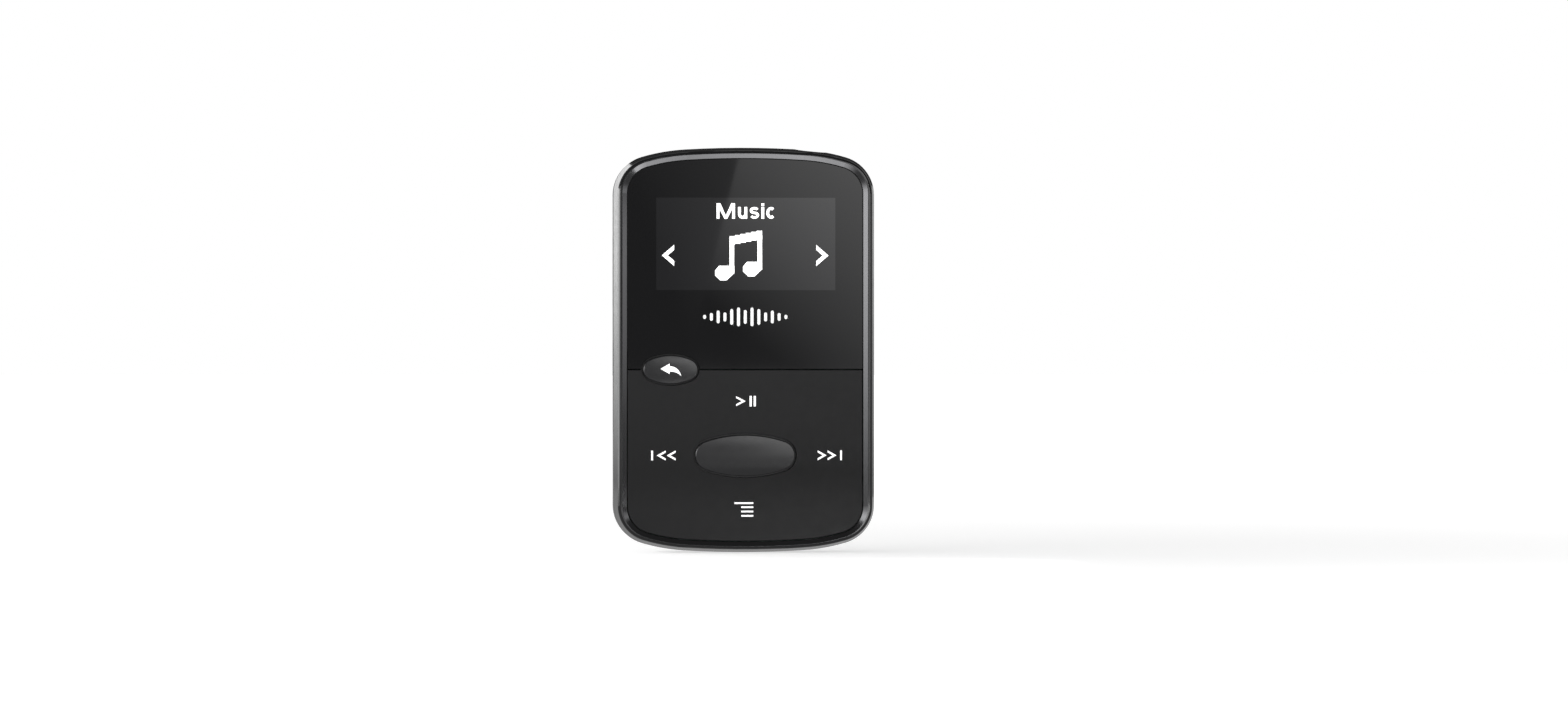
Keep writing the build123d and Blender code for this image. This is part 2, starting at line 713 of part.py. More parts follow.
with BuildPart() as nav_cradle:
    with BuildSketch(at_depth(CRADLE_DEPTH[0])):
        with Locations((0, PAD_Z)):
            RectangleRounded(2 * CRADLE_HALF[0], 2 * CRADLE_HALF[1], CRADLE_CORNER_R)
            RectangleRounded(
                2 * CRADLE_HOLE[0], 2 * CRADLE_HOLE[1], CRADLE_CORNER_R, mode=Mode.SUBTRACT
            )
    extrude(amount=CRADLE_DEPTH[1] - CRADLE_DEPTH[0])
    # Grooves that the pad's ribs rock in
    with BuildSketch(Plane.YZ):
        with Locations((-TILT_X_DEPTH, PAD_Z)):
            Circle(ROCKER_RIB_R + RUNNING_GAP)
    extrude(amount=CRADLE_HALF[0], both=True, mode=Mode.SUBTRACT)
    # Ribs on the back, above and below the select button, that rock on the frame
    for side in (-1, 1):
        with BuildSketch(Plane.XY.offset(PAD_Z + side * CRADLE_RIB_Z[0])):
            with Locations((0, -TILT_Z_DEPTH)):
                Circle(ROCKER_RIB_R)
        extrude(amount=side * (CRADLE_RIB_Z[1] - CRADLE_RIB_Z[0]))

nav_cradle.part.label = "nav_cradle"

with BuildPart() as keypad_frame:
    with BuildSketch(at_depth(FRAME_BACK)):
        with Locations((0, (KEYPAD_FRAME_Z[0] + KEYPAD_FRAME_Z[1]) / 2)):
            RectangleRounded(
                2 * KEYPAD_FRAME_HALF_W,
                KEYPAD_FRAME_Z[1] - KEYPAD_FRAME_Z[0],
                KEYPAD_FRAME_CORNER_R,
            )
        with Locations(*KEY_SPOTS.values(), (0, PAD_Z)):
            Circle(NUB_R + KEY_HOLE_GAP, mode=Mode.SUBTRACT)
    extrude(amount=FRAME_TOP - FRAME_BACK)
    # Groove for the cradle's ribs
    with BuildSketch(Plane.XY.offset(PAD_Z)):
        with Locations((0, -TILT_Z_DEPTH)):
            Circle(ROCKER_RIB_R + RUNNING_GAP)
    extrude(amount=CRADLE_HALF[1] + GROOVE_SPARE, both=True, mode=Mode.SUBTRACT)
    # Feet that stand on the board
    with BuildSketch(at_depth(BOARD_FRONT)):
        with Locations((0, PAD_Z)):
            with GridLocations(2 * FOOT_X, 2 * FOOT_Z, 2, 2):
                Circle(FOOT_R)
    extrude(amount=FRAME_BACK - BOARD_FRONT)

keypad_frame.part.label = "keypad_frame"

with BuildPart() as keypad_mat:
    # Silicone sheet over the dome switches, with a tongue under the return button
    with BuildSketch(at_depth(MAT_BACK)):
        with Locations((0, (KEYPAD_FRAME_Z[0] + KEYPAD_FRAME_Z[1]) / 2)):
            RectangleRounded(
                2 * KEYPAD_FRAME_HALF_W,
                KEYPAD_FRAME_Z[1] - KEYPAD_FRAME_Z[0],
                KEYPAD_FRAME_CORNER_R,
            )
        with Locations((RETURN_AT[0], RETURN_AT[1] - MAT_TONGUE_DROP)):
            RectangleRounded(*MAT_TONGUE, MAT_TONGUE_R)
        with Locations((0, PAD_Z)):
            with GridLocations(2 * FOOT_X, 2 * FOOT_Z, 2, 2):
                Circle(FOOT_R + FOOT_GAP, mode=Mode.SUBTRACT)
    extrude(amount=MAT_TOP - MAT_BACK)

keypad_mat.part.label = "keypad_mat"

with BuildPart() as select_button:
    with BuildSketch(at_depth(SELECT_FLANGE[1])):
        with Locations((0, PAD_Z)):
            add(select_outline())
    extrude(amount=SELECT_CREST - SELECT_FLANGE[1])
    add(
        barrel(0, PAD_Z, *SELECT_HALF, SELECT_CREST, SELECT_FALL[0], SELECT_FALL[1]),
        mode=Mode.INTERSECT,
    )
    fillet(select_button.faces().sort_by(Axis.Y)[0].edges(), radius=BUTTON_EDGE_R)
    # Flange that keeps the button in, and the stem that presses its switch
    with BuildSketch(at_depth(SELECT_FLANGE[0])):
        with Locations((0, PAD_Z)):
            add(select_outline(SELECT_FLANGE_OUT))
    extrude(amount=SELECT_FLANGE[1] - SELECT_FLANGE[0])
    with BuildSketch(at_depth(STEM_DEPTH)):
        with Locations((0, PAD_Z)):
            Circle(NUB_R)
    extrude(amount=SELECT_FLANGE[0] - STEM_DEPTH)

select_button.part.label = "select_button"

with BuildPart() as return_button:
    with BuildSketch(at_depth(RETURN_FLANGE[1])):
        with Locations(RETURN_AT):
            add(return_outline())
    extrude(amount=RETURN_CREST - RETURN_FLANGE[1])
    add(
        barrel(*RETURN_AT, *RETURN_HALF, RETURN_CREST, RETURN_FALL[0], RETURN_FALL[1]),
        mode=Mode.INTERSECT,
    )
    fillet(return_button.faces().sort_by(Axis.Y)[0].edges(), radius=BUTTON_EDGE_R)
    with BuildSketch(at_depth(RETURN_FLANGE[0])):
        with Locations(RETURN_AT):
            add(return_outline(RETURN_FLANGE_OUT))
    extrude(amount=RETURN_FLANGE[1] - RETURN_FLANGE[0])
    with BuildSketch(at_depth(STEM_DEPTH)):
        with Locations(RETURN_AT):
            Circle(NUB_R)
    extrude(amount=RETURN_FLANGE[0] - STEM_DEPTH)

return_button.part.label = "return_button"

# ----------------------------------------------------------------- side controls

with BuildPart() as volume_rocker:
    rocker_depth = (SIDE_KEY_DEPTH - SIDE_KEY_HALF_DEPTH, SIDE_KEY_DEPTH + SIDE_KEY_HALF_DEPTH)
    rocker_z = (ROCKER_Z - ROCKER_HALF_H, ROCKER_Z + ROCKER_HALF_H)
    add(block((-SIDE_KEY_FACE_X, ROCKER_FLANGE_X[0]), rocker_depth, rocker_z))
    fillet(volume_rocker.edges().filter_by(Axis.X), radius=ROCKER_END_R)
    fillet(volume_rocker.faces().sort_by(Axis.X)[0].edges(), radius=SIDE_KEY_EDGE_R)
    # A dip between the two ends that fingers can find
    with BuildSketch(at_depth(0)):
        with Locations((-SIDE_KEY_FACE_X - ROCKER_DIP_R + ROCKER_DIP, ROCKER_Z)):
            Circle(ROCKER_DIP_R)
    extrude(amount=BODY_DEPTH, mode=Mode.SUBTRACT)
    # Flange behind the wall, trunnion, and a nub for each switch
    add(
        block(
            ROCKER_FLANGE_X,
            (SIDE_KEY_DEPTH - ROCKER_FLANGE_HALF_DEPTH, SIDE_KEY_DEPTH + ROCKER_FLANGE_HALF_DEPTH),
            (ROCKER_Z - ROCKER_HALF_H - ROCKER_FLANGE_OUT,
             ROCKER_Z + ROCKER_HALF_H + ROCKER_FLANGE_OUT),
        )
    )
    with BuildSketch(at_depth(WALL + TRUNNION_END_GAP)):
        with Locations((ROCKER_AXIS_X, ROCKER_Z)):
            Circle(TRUNNION_R)
    extrude(amount=SIDE_KEY_DEPTH + ROCKER_FLANGE_HALF_DEPTH - WALL - TRUNNION_END_GAP)
    for step in (-VOLUME_SWITCH_STEP, VOLUME_SWITCH_STEP):
        add(
            block(
                (ROCKER_FLANGE_X[1], ROCKER_FLANGE_X[1] + ROCKER_NUB_OUT),
                (SIDE_KEY_DEPTH - ROCKER_NUB_HALF[0], SIDE_KEY_DEPTH + ROCKER_NUB_HALF[0]),
                (ROCKER_Z + step - ROCKER_NUB_HALF[1], ROCKER_Z + step + ROCKER_NUB_HALF[1]),
            )
        )

volume_rocker.part.label = "volume_rocker"

with BuildPart() as power_button:
    # The cap's face follows the crowned top of the body
    with BuildSketch(Plane.XY.offset(POWER_FLANGE_Z[1])):
        with Locations((POWER_X, -SIDE_KEY_DEPTH)):
            SlotOverall(2 * POWER_HALF_W, 2 * SIDE_KEY_HALF_DEPTH)
    extrude(amount=BODY_HALF_H - POWER_FLANGE_Z[1])
    with BuildSketch(at_depth(0)):
        add(body_outline(POWER_RECESS))
    extrude(amount=BODY_DEPTH, mode=Mode.INTERSECT)
    fillet(power_button.faces().sort_by(Axis.Z)[-1].edges(), radius=SIDE_KEY_EDGE_R)
    with BuildSketch(Plane.XY.offset(POWER_FLANGE_Z[0])):
        with Locations((POWER_X, -SIDE_KEY_DEPTH)):
            RectangleRounded(
                2 * (POWER_HALF_W + POWER_FLANGE_OUT),
                2 * (SIDE_KEY_HALF_DEPTH + POWER_FLANGE_OUT),
                POWER_FLANGE_OUT,
            )
    extrude(amount=POWER_FLANGE_Z[1] - POWER_FLANGE_Z[0])

power_button.part.label = "power_button"


def side_switch(x, z, facing):
    """A side-pressed switch on the back of the board, with its plunger facing -X or +Z."""
    along = (SWITCH_HALF_LONG, SWITCH_DEEP)
    with BuildPart() as switch:
        depth_range = (BOARD_BACK - SWITCH_THICK, BOARD_BACK)
        if facing == "-X":
            add(block((x, x + along[1]), depth_range, (z - along[0], z + along[0])))
            add(
                block(
                    (x - PLUNGER_OUT, x),
                    (SIDE_KEY_DEPTH - PLUNGER_HALF[0], SIDE_KEY_DEPTH + PLUNGER_HALF[0]),
                    (z - PLUNGER_HALF[1], z + PLUNGER_HALF[1]),
                )
            )
        else:
            add(block((x - along[0], x + along[0]), depth_range, (z - along[1], z)))
            add(
                block(
                    (x - PLUNGER_HALF[1], x + PLUNGER_HALF[1]),
                    (SIDE_KEY_DEPTH - PLUNGER_HALF[0], SIDE_KEY_DEPTH + PLUNGER_HALF[0]),
                    (z, z + PLUNGER_OUT),
                )
            )
    return switch


volume_up_switch = side_switch(VOLUME_SWITCH_X, ROCKER_Z + VOLUME_SWITCH_STEP, "-X")
volume_up_switch.part.label = "volume_up_switch"
volume_down_switch = side_switch(VOLUME_SWITCH_X, ROCKER_Z - VOLUME_SWITCH_STEP, "-X")
volume_down_switch.part.label = "volume_down_switch"
power_switch = side_switch(POWER_X, POWER_SWITCH_Z, "+Z")
power_switch.part.label = "power_switch"

# ------------------------------------------------------------------------- ports

with BuildPart() as headphone_jack:
    jack_mid_z = (JACK_Z[0] + JACK_Z[1]) / 2
    with Locations((JACK_X, -JACK_DEPTH, jack_mid_z)):
        Box(JACK_BODY[0], JACK_BODY[1], JACK_Z[1] - JACK_Z[0])
    with BuildSketch(Plane.XY.offset(JACK_Z[1])):
        with Locations((JACK_X, -JACK_DEPTH)):
            Circle(JACK_NOSE_R)
    extrude(amount=JACK_NOSE_Z - JACK_Z[1])
    nose_rim = headphone_jack.faces().sort_by(Axis.Z)[-1].edges()
    chamfer(nose_rim, length=JACK_NOSE_CHAMFER)
    with BuildSketch(Plane.XY.offset(JACK_NOSE_Z)):
        with Locations((JACK_X, -JACK_DEPTH)):
            Circle(JACK_BORE_R)
    extrude(amount=JACK_FLOOR_Z - JACK_NOSE_Z, mode=Mode.SUBTRACT)
    # Slots for the sprung contacts, on the side away from the screw boss
    for z in JACK_CONTACT_Z:
        add(
            block(
                (JACK_X - JACK_BODY[0] / 2, JACK_X - JACK_BORE_R + JACK_SLOT_BITE),
                (JACK_DEPTH - JACK_SLOT_HALF[0], JACK_DEPTH + JACK_SLOT_HALF[0]),
                (z - JACK_SLOT_HALF[1], z + JACK_SLOT_HALF[1]),
            ),
            mode=Mode.SUBTRACT,
        )

headphone_jack.part.label = "headphone_jack"

with BuildPart() as jack_contacts:
    # Strips that stand in the jack's slots, clear of the bore
    for z in JACK_CONTACT_Z:
        add(
            block(
                (JACK_X - JACK_BODY[0] / 2 + CONTACT_INSET, JACK_X - JACK_BORE_R - CONTACT_CLEAR),
                (JACK_DEPTH - CONTACT_HALF[0], JACK_DEPTH + CONTACT_HALF[0]),
                (z - CONTACT_HALF[1], z + CONTACT_HALF[1]),
            )
        )

jack_contacts.part.label = "jack_contacts"

with BuildPart() as usb_shell:
    with BuildSketch(Plane.YZ.offset(USB_X[0])):
        with Locations(Location((-USB_DEPTH, USB_Z), 90)):
            add(port_outline(*USB_HALF, USB_CORNER))
    extrude(amount=USB_X[1] - USB_X[0])
    with BuildSketch(Plane.YZ.offset(USB_X[0] + SHELL_THICK)):
        with Locations(Location((-USB_DEPTH, USB_Z), 90)):
            add(port_outline(USB_HALF[0] - SHELL_THICK, USB_HALF[1] - SHELL_THICK, USB_CORNER))
    extrude(amount=USB_X[1] - USB_X[0], mode=Mode.SUBTRACT)

usb_shell.part.label = "usb_shell"

with BuildPart() as usb_tongue:
    with BuildSketch(Plane.YZ.offset(USB_X[0] + SHELL_THICK)):
        with Locations(Location((-USB_DEPTH, USB_Z), 90)):
            add(
                port_outline(
                    USB_HALF[0] - SHELL_THICK - FIT_GAP,
                    USB_HALF[1] - SHELL_THICK - FIT_GAP,
                    USB_CORNER,
                )
            )
    extrude(amount=USB_CORE)
    add(
        block(
            (USB_X[0] + SHELL_THICK, USB_X[1] - USB_TONGUE_SHORT),
            USB_TONGUE_DEPTH,
            (USB_Z - USB_TONGUE_HALF_W, USB_Z + USB_TONGUE_HALF_W),
        )
    )

usb_tongue.part.label = "usb_tongue"

with BuildPart() as card_socket_base:
    add(block(CARD_X, (BOARD_BACK - CARD_BASE_THICK, BOARD_BACK), CARD_SOCKET_Z))

card_socket_base.part.label = "card_socket_base"

with BuildPart() as card_socket_cover:
    # Folded steel over the card's path, open towards the slot in the wall
    cover_z = (CARD_SOCKET_Z[0] - COVER_THICK, CARD_SOCKET_Z[1] + COVER_THICK)
    cover_depth = (BOARD_BACK - CARD_COVER_HEIGHT, BOARD_BACK)
    add(block(CARD_X, cover_depth, cover_z))
    add(
        block(
            (CARD_X[0], CARD_X[1] - COVER_THICK),
            (cover_depth[0] + COVER_THICK, BOARD_BACK),
            CARD_SOCKET_Z,
        ),
        mode=Mode.SUBTRACT,
    )
    add(
        block(
            (CARD_X[0] + CARD_COVER_LIP, CARD_X[1]),
            (BOARD_BACK - CARD_BASE_THICK, BOARD_BACK),
            CARD_SOCKET_Z,
        ),
        mode=Mode.SUBTRACT,
    )

card_socket_cover.part.label = "card_socket_cover"

# ------------------------------------------------------------ board and its parts

with BuildPart() as main_board:
    with BuildSketch(at_depth(BOARD_BACK)):
        add(body_outline(WALL + CAVITY_GAP))
        with Locations(*SCREW_AT):
            Circle(SCREW_R + SCREW_HOLE_GAP, mode=Mode.SUBTRACT)
        # Cut-outs for the jack, the power button and the rocker's flange
        with Locations((JACK_X, JACK_Z[0] - BOARD_CUT_GAP)):
            Rectangle(
                JACK_BODY[0] + 2 * BOARD_CUT_GAP,
                BODY_HALF_H,
                align=(Align.CENTER, Align.MIN),
                mode=Mode.SUBTRACT,
            )
        with Locations((POWER_X, POWER_SWITCH_Z)):
            Rectangle(
                2 * (POWER_HALF_W + BOARD_CUT_WIDE),
                BODY_HALF_H,
                align=(Align.CENTER, Align.MIN),
                mode=Mode.SUBTRACT,
            )
        with Locations((VOLUME_SWITCH_X, ROCKER_Z)):
            Rectangle(
                BODY_HALF_W,
                2 * (ROCKER_HALF_H + BOARD_CUT_WIDE),
                align=(Align.MAX, Align.CENTER),
                mode=Mode.SUBTRACT,
            )
    extrude(amount=BOARD_FRONT - BOARD_BACK)

main_board.part.label = "main_board"


def dome_switch(x, z):
    """A round metal dome on a thin square base, on the front of the board."""
    with BuildPart() as switch:
        base_depth = (BOARD_FRONT, BOARD_FRONT + DOME_BASE_THICK)
        dome_rise = DOME_TOP - base_depth[1]
        add(
            block(
                (x - DOME_BASE_HALF, x + DOME_BASE_HALF),
                base_depth,
                (z - DOME_BASE_HALF, z + DOME_BASE_HALF),
            )
        )
        with BuildSketch(Plane.XY.offset(z)):
            with BuildLine():
                ThreePointArc(
                    (x, -DOME_TOP),
                    (x + DOME_KNEE[0] * DOME_R, -base_depth[1] - DOME_KNEE[1] * dome_rise),
                    (x + DOME_R, -base_depth[1]),
                )
                Polyline((x + DOME_R, -base_depth[1]), (x, -base_depth[1]), (x, -DOME_TOP))
            make_face()
        revolve(axis=Axis((x, 0, z), (0, 1, 0)))
    return switch


dome_switches = {}
for place, (x, z) in {**KEY_SPOTS, "select": (0, PAD_Z), "return": RETURN_AT}.items():
    dome_switches[place] = dome_switch(x, z)
    dome_switches[place].part.label = f"dome_switch_{place}"


def chip(x_range, z_range, height, front):
    """A moulded chip on the board's front or back, with a pin-one dimple."""
    if front:
        depth_range = (BOARD_FRONT, BOARD_FRONT + height)
    else:
        depth_range = (BOARD_BACK - height, BOARD_BACK)
    with BuildPart() as package:
        add(block(x_range, depth_range, z_range))
        outer = package.faces().sort_by(Axis.Y)[0 if front else -1]
        chamfer(outer.edges(), length=CHIP_CHAMFER)
        dimple = (
            x_range[0] + CHIP_DIMPLE_IN,
            -depth_range[1 if front else 0],
            z_range[1] - CHIP_DIMPLE_IN,
        )
        with Locations(dimple):
            Sphere(CHIP_DIMPLE_R, mode=Mode.SUBTRACT)
    return package


processor = chip(PROCESSOR_X, PROCESSOR_Z, CHIP_TALL, front=True)
processor.part.label = "processor"
flash_memory = chip(FLASH_X, FLASH_Z, CHIP_TALL, front=True)
flash_memory.part.label = "flash_memory"
power_chip = chip(POWER_CHIP_X, POWER_CHIP_Z, CHIP_LOW, front=False)
power_chip.part.label = "power_chip"
radio_chip = chip(RADIO_CHIP_X, RADIO_CHIP_Z, CHIP_LOW, front=False)
radio_chip.part.label = "radio_chip"

with BuildPart() as crystal:
    add(block(CRYSTAL_X, (BOARD_BACK - CRYSTAL_HEIGHT, BOARD_BACK), CRYSTAL_Z))
    fillet(crystal.faces().sort_by(Axis.Y)[-1].edges(), radius=CRYSTAL_EDGE_R)

crystal.part.label = "crystal"

with BuildPart() as power_inductor:
    add(block(INDUCTOR_X, (BOARD_BACK - INDUCTOR_HEIGHT, BOARD_BACK), INDUCTOR_Z))
    fillet(power_inductor.edges().filter_by(Axis.Y), radius=INDUCTOR_CORNER_R)

power_inductor.part.label = "power_inductor"

with BuildPart() as capacitors:
    for x, z in CAPACITOR_AT:
        add(
            block(
                (x - CAPACITOR_HALF[0], x + CAPACITOR_HALF[0]),
                (BOARD_BACK - CAPACITOR_HEIGHT, BOARD_BACK),
                (z - CAPACITOR_HALF[1], z + CAPACITOR_HALF[1]),
            )
        )

capacitors.part.label = "capacitors"

with BuildPart() as board_screws:
    # Pan heads against the back of the board, shanks into the front housing's bosses
    with BuildSketch(at_depth(BOARD_BACK)):
        with Locations(*SCREW_AT):
            Circle(SCREW_HEAD_R)
    extrude(amount=-SCREW_HEAD)
    head_edges = board_screws.faces().sort_by(Axis.Y)[-len(SCREW_AT):].edges()
    fillet(head_edges, radius=SCREW_HEAD_EDGE_R)
    with BuildSketch(at_depth(BOARD_BACK)):
        with Locations(*SCREW_AT):
            Circle(SCREW_R)
    extrude(amount=BOARD_FRONT - BOARD_BACK + SCREW_BITE)
    with BuildSketch(at_depth(BOARD_BACK - SCREW_HEAD)):
        with Locations(*SCREW_AT):
            Rectangle(CROSS_LONG, CROSS_WIDE)
            Rectangle(CROSS_WIDE, CROSS_LONG)
    extrude(amount=CROSS_DEEP, mode=Mode.SUBTRACT)

board_screws.part.label = "board_screws"

# ----------------------------------------------------------------------- battery

with BuildPart() as battery:
    add(block(BATTERY_X, BATTERY_DEPTH, BATTERY_Z))
    fillet(battery.edges().filter_by(Axis.Z), radius=BATTERY_EDGE_R)

battery.part.label = "battery"

with BuildPart() as battery_tape:
    add(
        block(
            (BATTERY_X[0] + BATTERY_TAPE_MARGIN, BATTERY_X[1] - BATTERY_TAPE_MARGIN),
            (WALL, BATTERY_DEPTH[0]),
            (BATTERY_Z[0] + BATTERY_TAPE_MARGIN, BATTERY_Z[1] - BATTERY_TAPE_MARGIN),
        )
    )

battery_tape.part.label = "battery_tape"

with BuildPart() as battery_guard_board:
    add(block(GUARD_X, GUARD_DEPTH, GUARD_Z))

battery_guard_board.part.label = "battery_guard_board"


def battery_wire(x):
    """A short insulated wire from the battery's guard board to the back of the main board."""
    wire_depth = (GUARD_DEPTH[0] + GUARD_DEPTH[1]) / 2
    with BuildPart() as wire:
        with BuildLine() as route:
            FilletPolyline(
                (x, -wire_depth, GUARD_Z[1]),
                (x, -wire_depth, GUARD_Z[1] + WIRE_RUN),
                (x, -BOARD_BACK, GUARD_Z[1] + WIRE_RUN),
                radius=WIRE_BEND_R,
            )
        with BuildSketch(Plane(origin=route.line @ 0, z_dir=route.line % 0)):
            Circle(WIRE_R)
        sweep()
    return wire


battery_wire_red = battery_wire(WIRE_X[0])
battery_wire_red.part.label = "battery_wire_red"
battery_wire_black = battery_wire(WIRE_X[1])
battery_wire_black.part.label = "battery_wire_black"

# -------------------------------------------------------------------------- clip

with BuildPart() as clip_lever:
    # Side profile: a straight back that bends in to the jaw at its foot
    with BuildSketch(Plane.YZ):
        with BuildLine():
            back = Line((CLIP_BACK_Y, CLIP_TOP_Z), (CLIP_BACK_Y, CLIP_BEND_Z))
            foot = TangentArc(back @ 1, (CLIP_FOOT_Y[1], CLIP_FOOT_Z), tangent=back % 1)
            front = Line(
                (CLIP_BACK_Y - CLIP_ARM, CLIP_TOP_Z), (CLIP_BACK_Y - CLIP_ARM, CLIP_BEND_Z)
            )
            jaw = TangentArc(front @ 1, (CLIP_FOOT_Y[0], CLIP_FOOT_Z), tangent=front % 1)
            Line(back @ 0, front @ 0)
            Line(foot @ 1, jaw @ 1)
        make_face()
    extrude(amount=CLIP_HALF_W, both=True)
    # Plan outline, with rounder corners at the jaw
    with BuildSketch(Plane.XZ):
        with Locations((0, (CLIP_TOP_Z + CLIP_FOOT_Z) / 2)):
            RectangleRounded(2 * CLIP_HALF_W, CLIP_TOP_Z - CLIP_FOOT_Z, CLIP_CORNER_R)
    extrude(amount=-2 * CLIP_BACK_Y, mode=Mode.INTERSECT)
    outer_edges = clip_lever.faces().sort_by(Axis.Y)[-1].outer_wire().edges()
    fillet(outer_edges, radius=CLIP_EDGE_R)
    # Ears that hang from the arm and hold the pin
    for side in (-1, 1):
        with BuildSketch(Plane.YZ.offset(side * CLIP_EAR_X[0])):
            with Locations((CLIP_PIVOT_Y, CLIP_PIVOT_Z)):
                Circle(CLIP_LUG_R)
                Rectangle(
                    CLIP_BACK_Y - CLIP_PIVOT_Y - CLIP_ARM / 2,
                    2 * CLIP_LUG_R,
                    align=(Align.MIN, Align.CENTER),
                )
                Circle(CLIP_PIN_R + PRESS_GAP, mode=Mode.SUBTRACT)
        extrude(amount=side * (CLIP_EAR_X[1] - CLIP_EAR_X[0]))
    # Ribs for the thumb
    with BuildSketch(at_depth(-CLIP_BACK_Y)):
        with Locations((0, THUMB_RIB_Z)):
            with GridLocations(0, THUMB_RIB_STEP, 1, 4):
                SlotOverall(THUMB_RIB_W, THUMB_RIB_H)
    extrude(amount=THUMB_GROOVE, mode=Mode.SUBTRACT)
    # Pocket for the jaw's pad
    add(
        block(
            (-PAD_POCKET_X, PAD_POCKET_X), (-PAD_POCKET_Y, 0), (JAW_Z[0], JAW_Z[2])
        ),
        mode=Mode.SUBTRACT,
    )

clip_lever.part.label = "clip_lever"

with BuildPart() as clip_pad:
    add(
        block(
            (-PAD_POCKET_X + FIT_GAP, PAD_POCKET_X - FIT_GAP),
            (-PAD_POCKET_Y, -JAW_GAP),
            (JAW_Z[0] + FIT_GAP, JAW_Z[2] - FIT_GAP),
        )
    )
    fillet(clip_pad.faces().sort_by(Axis.Y)[0].edges(), radius=CLIP_PAD_EDGE_R)

clip_pad.part.label = "clip_pad"

with BuildPart() as clip_pin:
    with BuildSketch(Plane.YZ):
        with Locations((CLIP_PIVOT_Y, CLIP_PIVOT_Z)):
            Circle(CLIP_PIN_R)
    extrude(amount=CLIP_EAR_X[1] - PIN_END_GAP, both=True)
    chamfer(clip_pin.edges().filter_by(GeomType.CIRCLE), length=PIN_CHAMFER)

clip_pin.part.label = "clip_pin"

with BuildPart() as clip_spring:
    # Torsion spring around the pin. Its legs run up behind the thumb's end of the arm,
    # one along the body and one along the arm, and push them apart to close the jaw.
    with BuildLine() as coil:
        Helix(
            pitch=SPRING_COIL_W / SPRING_TURNS,
            height=SPRING_COIL_W,
            radius=SPRING_R,
            center=(-SPRING_COIL_W / 2, CLIP_PIVOT_Y, CLIP_PIVOT_Z),
            direction=(1, 0, 0),
        )
    pin_axis = Axis((0, CLIP_PIVOT_Y, CLIP_PIVOT_Z), (1, 0, 0))
    turns = coil.edges()[0].rotate(pin_axis, 90)
    with BuildLine() as wire_line:
        Line(turns @ 0 - (turns % 0) * SPRING_LEG, turns @ 0)
        add(turns)
        Line(turns @ 1, turns @ 1 + (turns % 1) * SPRING_LEG)
    with BuildSketch(Plane(origin=wire_line.wire() @ 0, z_dir=wire_line.wire() % 0)):
        Circle(SPRING_WIRE_R)
    sweep(path=wire_line.wire(), is_frenet=True)

clip_spring.part.label = "clip_spring"

# ------------------------------------------------------------------------ export

pieces = [
    front_housing, trim_ring, rear_housing, screen_lens, lens_tape, display_panel, display_flex,
    flex_socket, display_foam, nav_pad, nav_cradle, keypad_frame, keypad_mat, select_button,
    return_button, volume_rocker, power_button, volume_up_switch, volume_down_switch,
    power_switch, headphone_jack, jack_contacts, usb_shell, usb_tongue, card_socket_base,
    card_socket_cover, main_board, *dome_switches.values(), processor, flash_memory,
    power_chip, radio_chip, crystal, power_inductor, capacitors, board_screws, battery,
    battery_tape, battery_guard_board, battery_wire_red, battery_wire_black, clip_lever,
    clip_pad, clip_pin, clip_spring,
]
for piece in pieces:
    export_step(piece.part, f"parts/{piece.part.label}.step")
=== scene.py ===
import json
import math

import bmesh
import bpy
from mathutils import Matrix, Vector


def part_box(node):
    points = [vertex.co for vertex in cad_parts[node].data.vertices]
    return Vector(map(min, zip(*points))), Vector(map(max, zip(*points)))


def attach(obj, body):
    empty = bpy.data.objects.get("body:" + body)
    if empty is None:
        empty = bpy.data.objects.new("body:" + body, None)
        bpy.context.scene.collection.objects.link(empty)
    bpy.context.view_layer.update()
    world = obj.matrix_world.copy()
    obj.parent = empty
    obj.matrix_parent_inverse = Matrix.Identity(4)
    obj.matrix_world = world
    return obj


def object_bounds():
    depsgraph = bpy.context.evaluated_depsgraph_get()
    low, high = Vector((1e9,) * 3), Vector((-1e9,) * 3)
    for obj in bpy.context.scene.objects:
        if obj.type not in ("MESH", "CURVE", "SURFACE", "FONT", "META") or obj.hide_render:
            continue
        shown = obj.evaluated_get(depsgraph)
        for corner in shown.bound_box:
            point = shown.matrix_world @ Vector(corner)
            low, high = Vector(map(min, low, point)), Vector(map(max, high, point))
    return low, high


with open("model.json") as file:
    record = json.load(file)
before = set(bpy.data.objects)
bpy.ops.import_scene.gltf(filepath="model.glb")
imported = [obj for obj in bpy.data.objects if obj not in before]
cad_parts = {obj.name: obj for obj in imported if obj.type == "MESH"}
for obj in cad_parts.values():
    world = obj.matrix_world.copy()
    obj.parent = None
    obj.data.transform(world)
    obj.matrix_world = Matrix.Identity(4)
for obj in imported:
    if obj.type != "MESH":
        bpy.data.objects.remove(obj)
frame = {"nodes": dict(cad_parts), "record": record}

# A clip-on digital audio player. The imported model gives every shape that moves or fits.
# This script adds materials, the lit display content, the printed symbols and the studio.
# Metres; X right, Z up, front towards -Y.

MM = 0.001
NODES = frame["nodes"]
CAD_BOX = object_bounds()

PANEL_FRONT_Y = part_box("screen_lens")[0][1]  # the lens and the pad share this front plane
DISPLAY_MID_Z = 17.5 * MM


def middle(node, axis):
    """The middle of a node's box along one axis, in metres."""
    low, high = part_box(node)
    return (low[axis] + high[axis]) / 2


# ------------------------------------------------------------------ node helpers

def new_material(name):
    """A material with an empty node tree but for its output and one Principled shader."""
    material = bpy.data.materials.new(name)
    material.use_nodes = True
    tree = material.node_tree
    tree.nodes.clear()
    output = tree.nodes.new("ShaderNodeOutputMaterial")
    shader = tree.nodes.new("ShaderNodeBsdfPrincipled")
    tree.links.new(shader.outputs["BSDF"], output.inputs["Surface"])
    return material, tree, shader


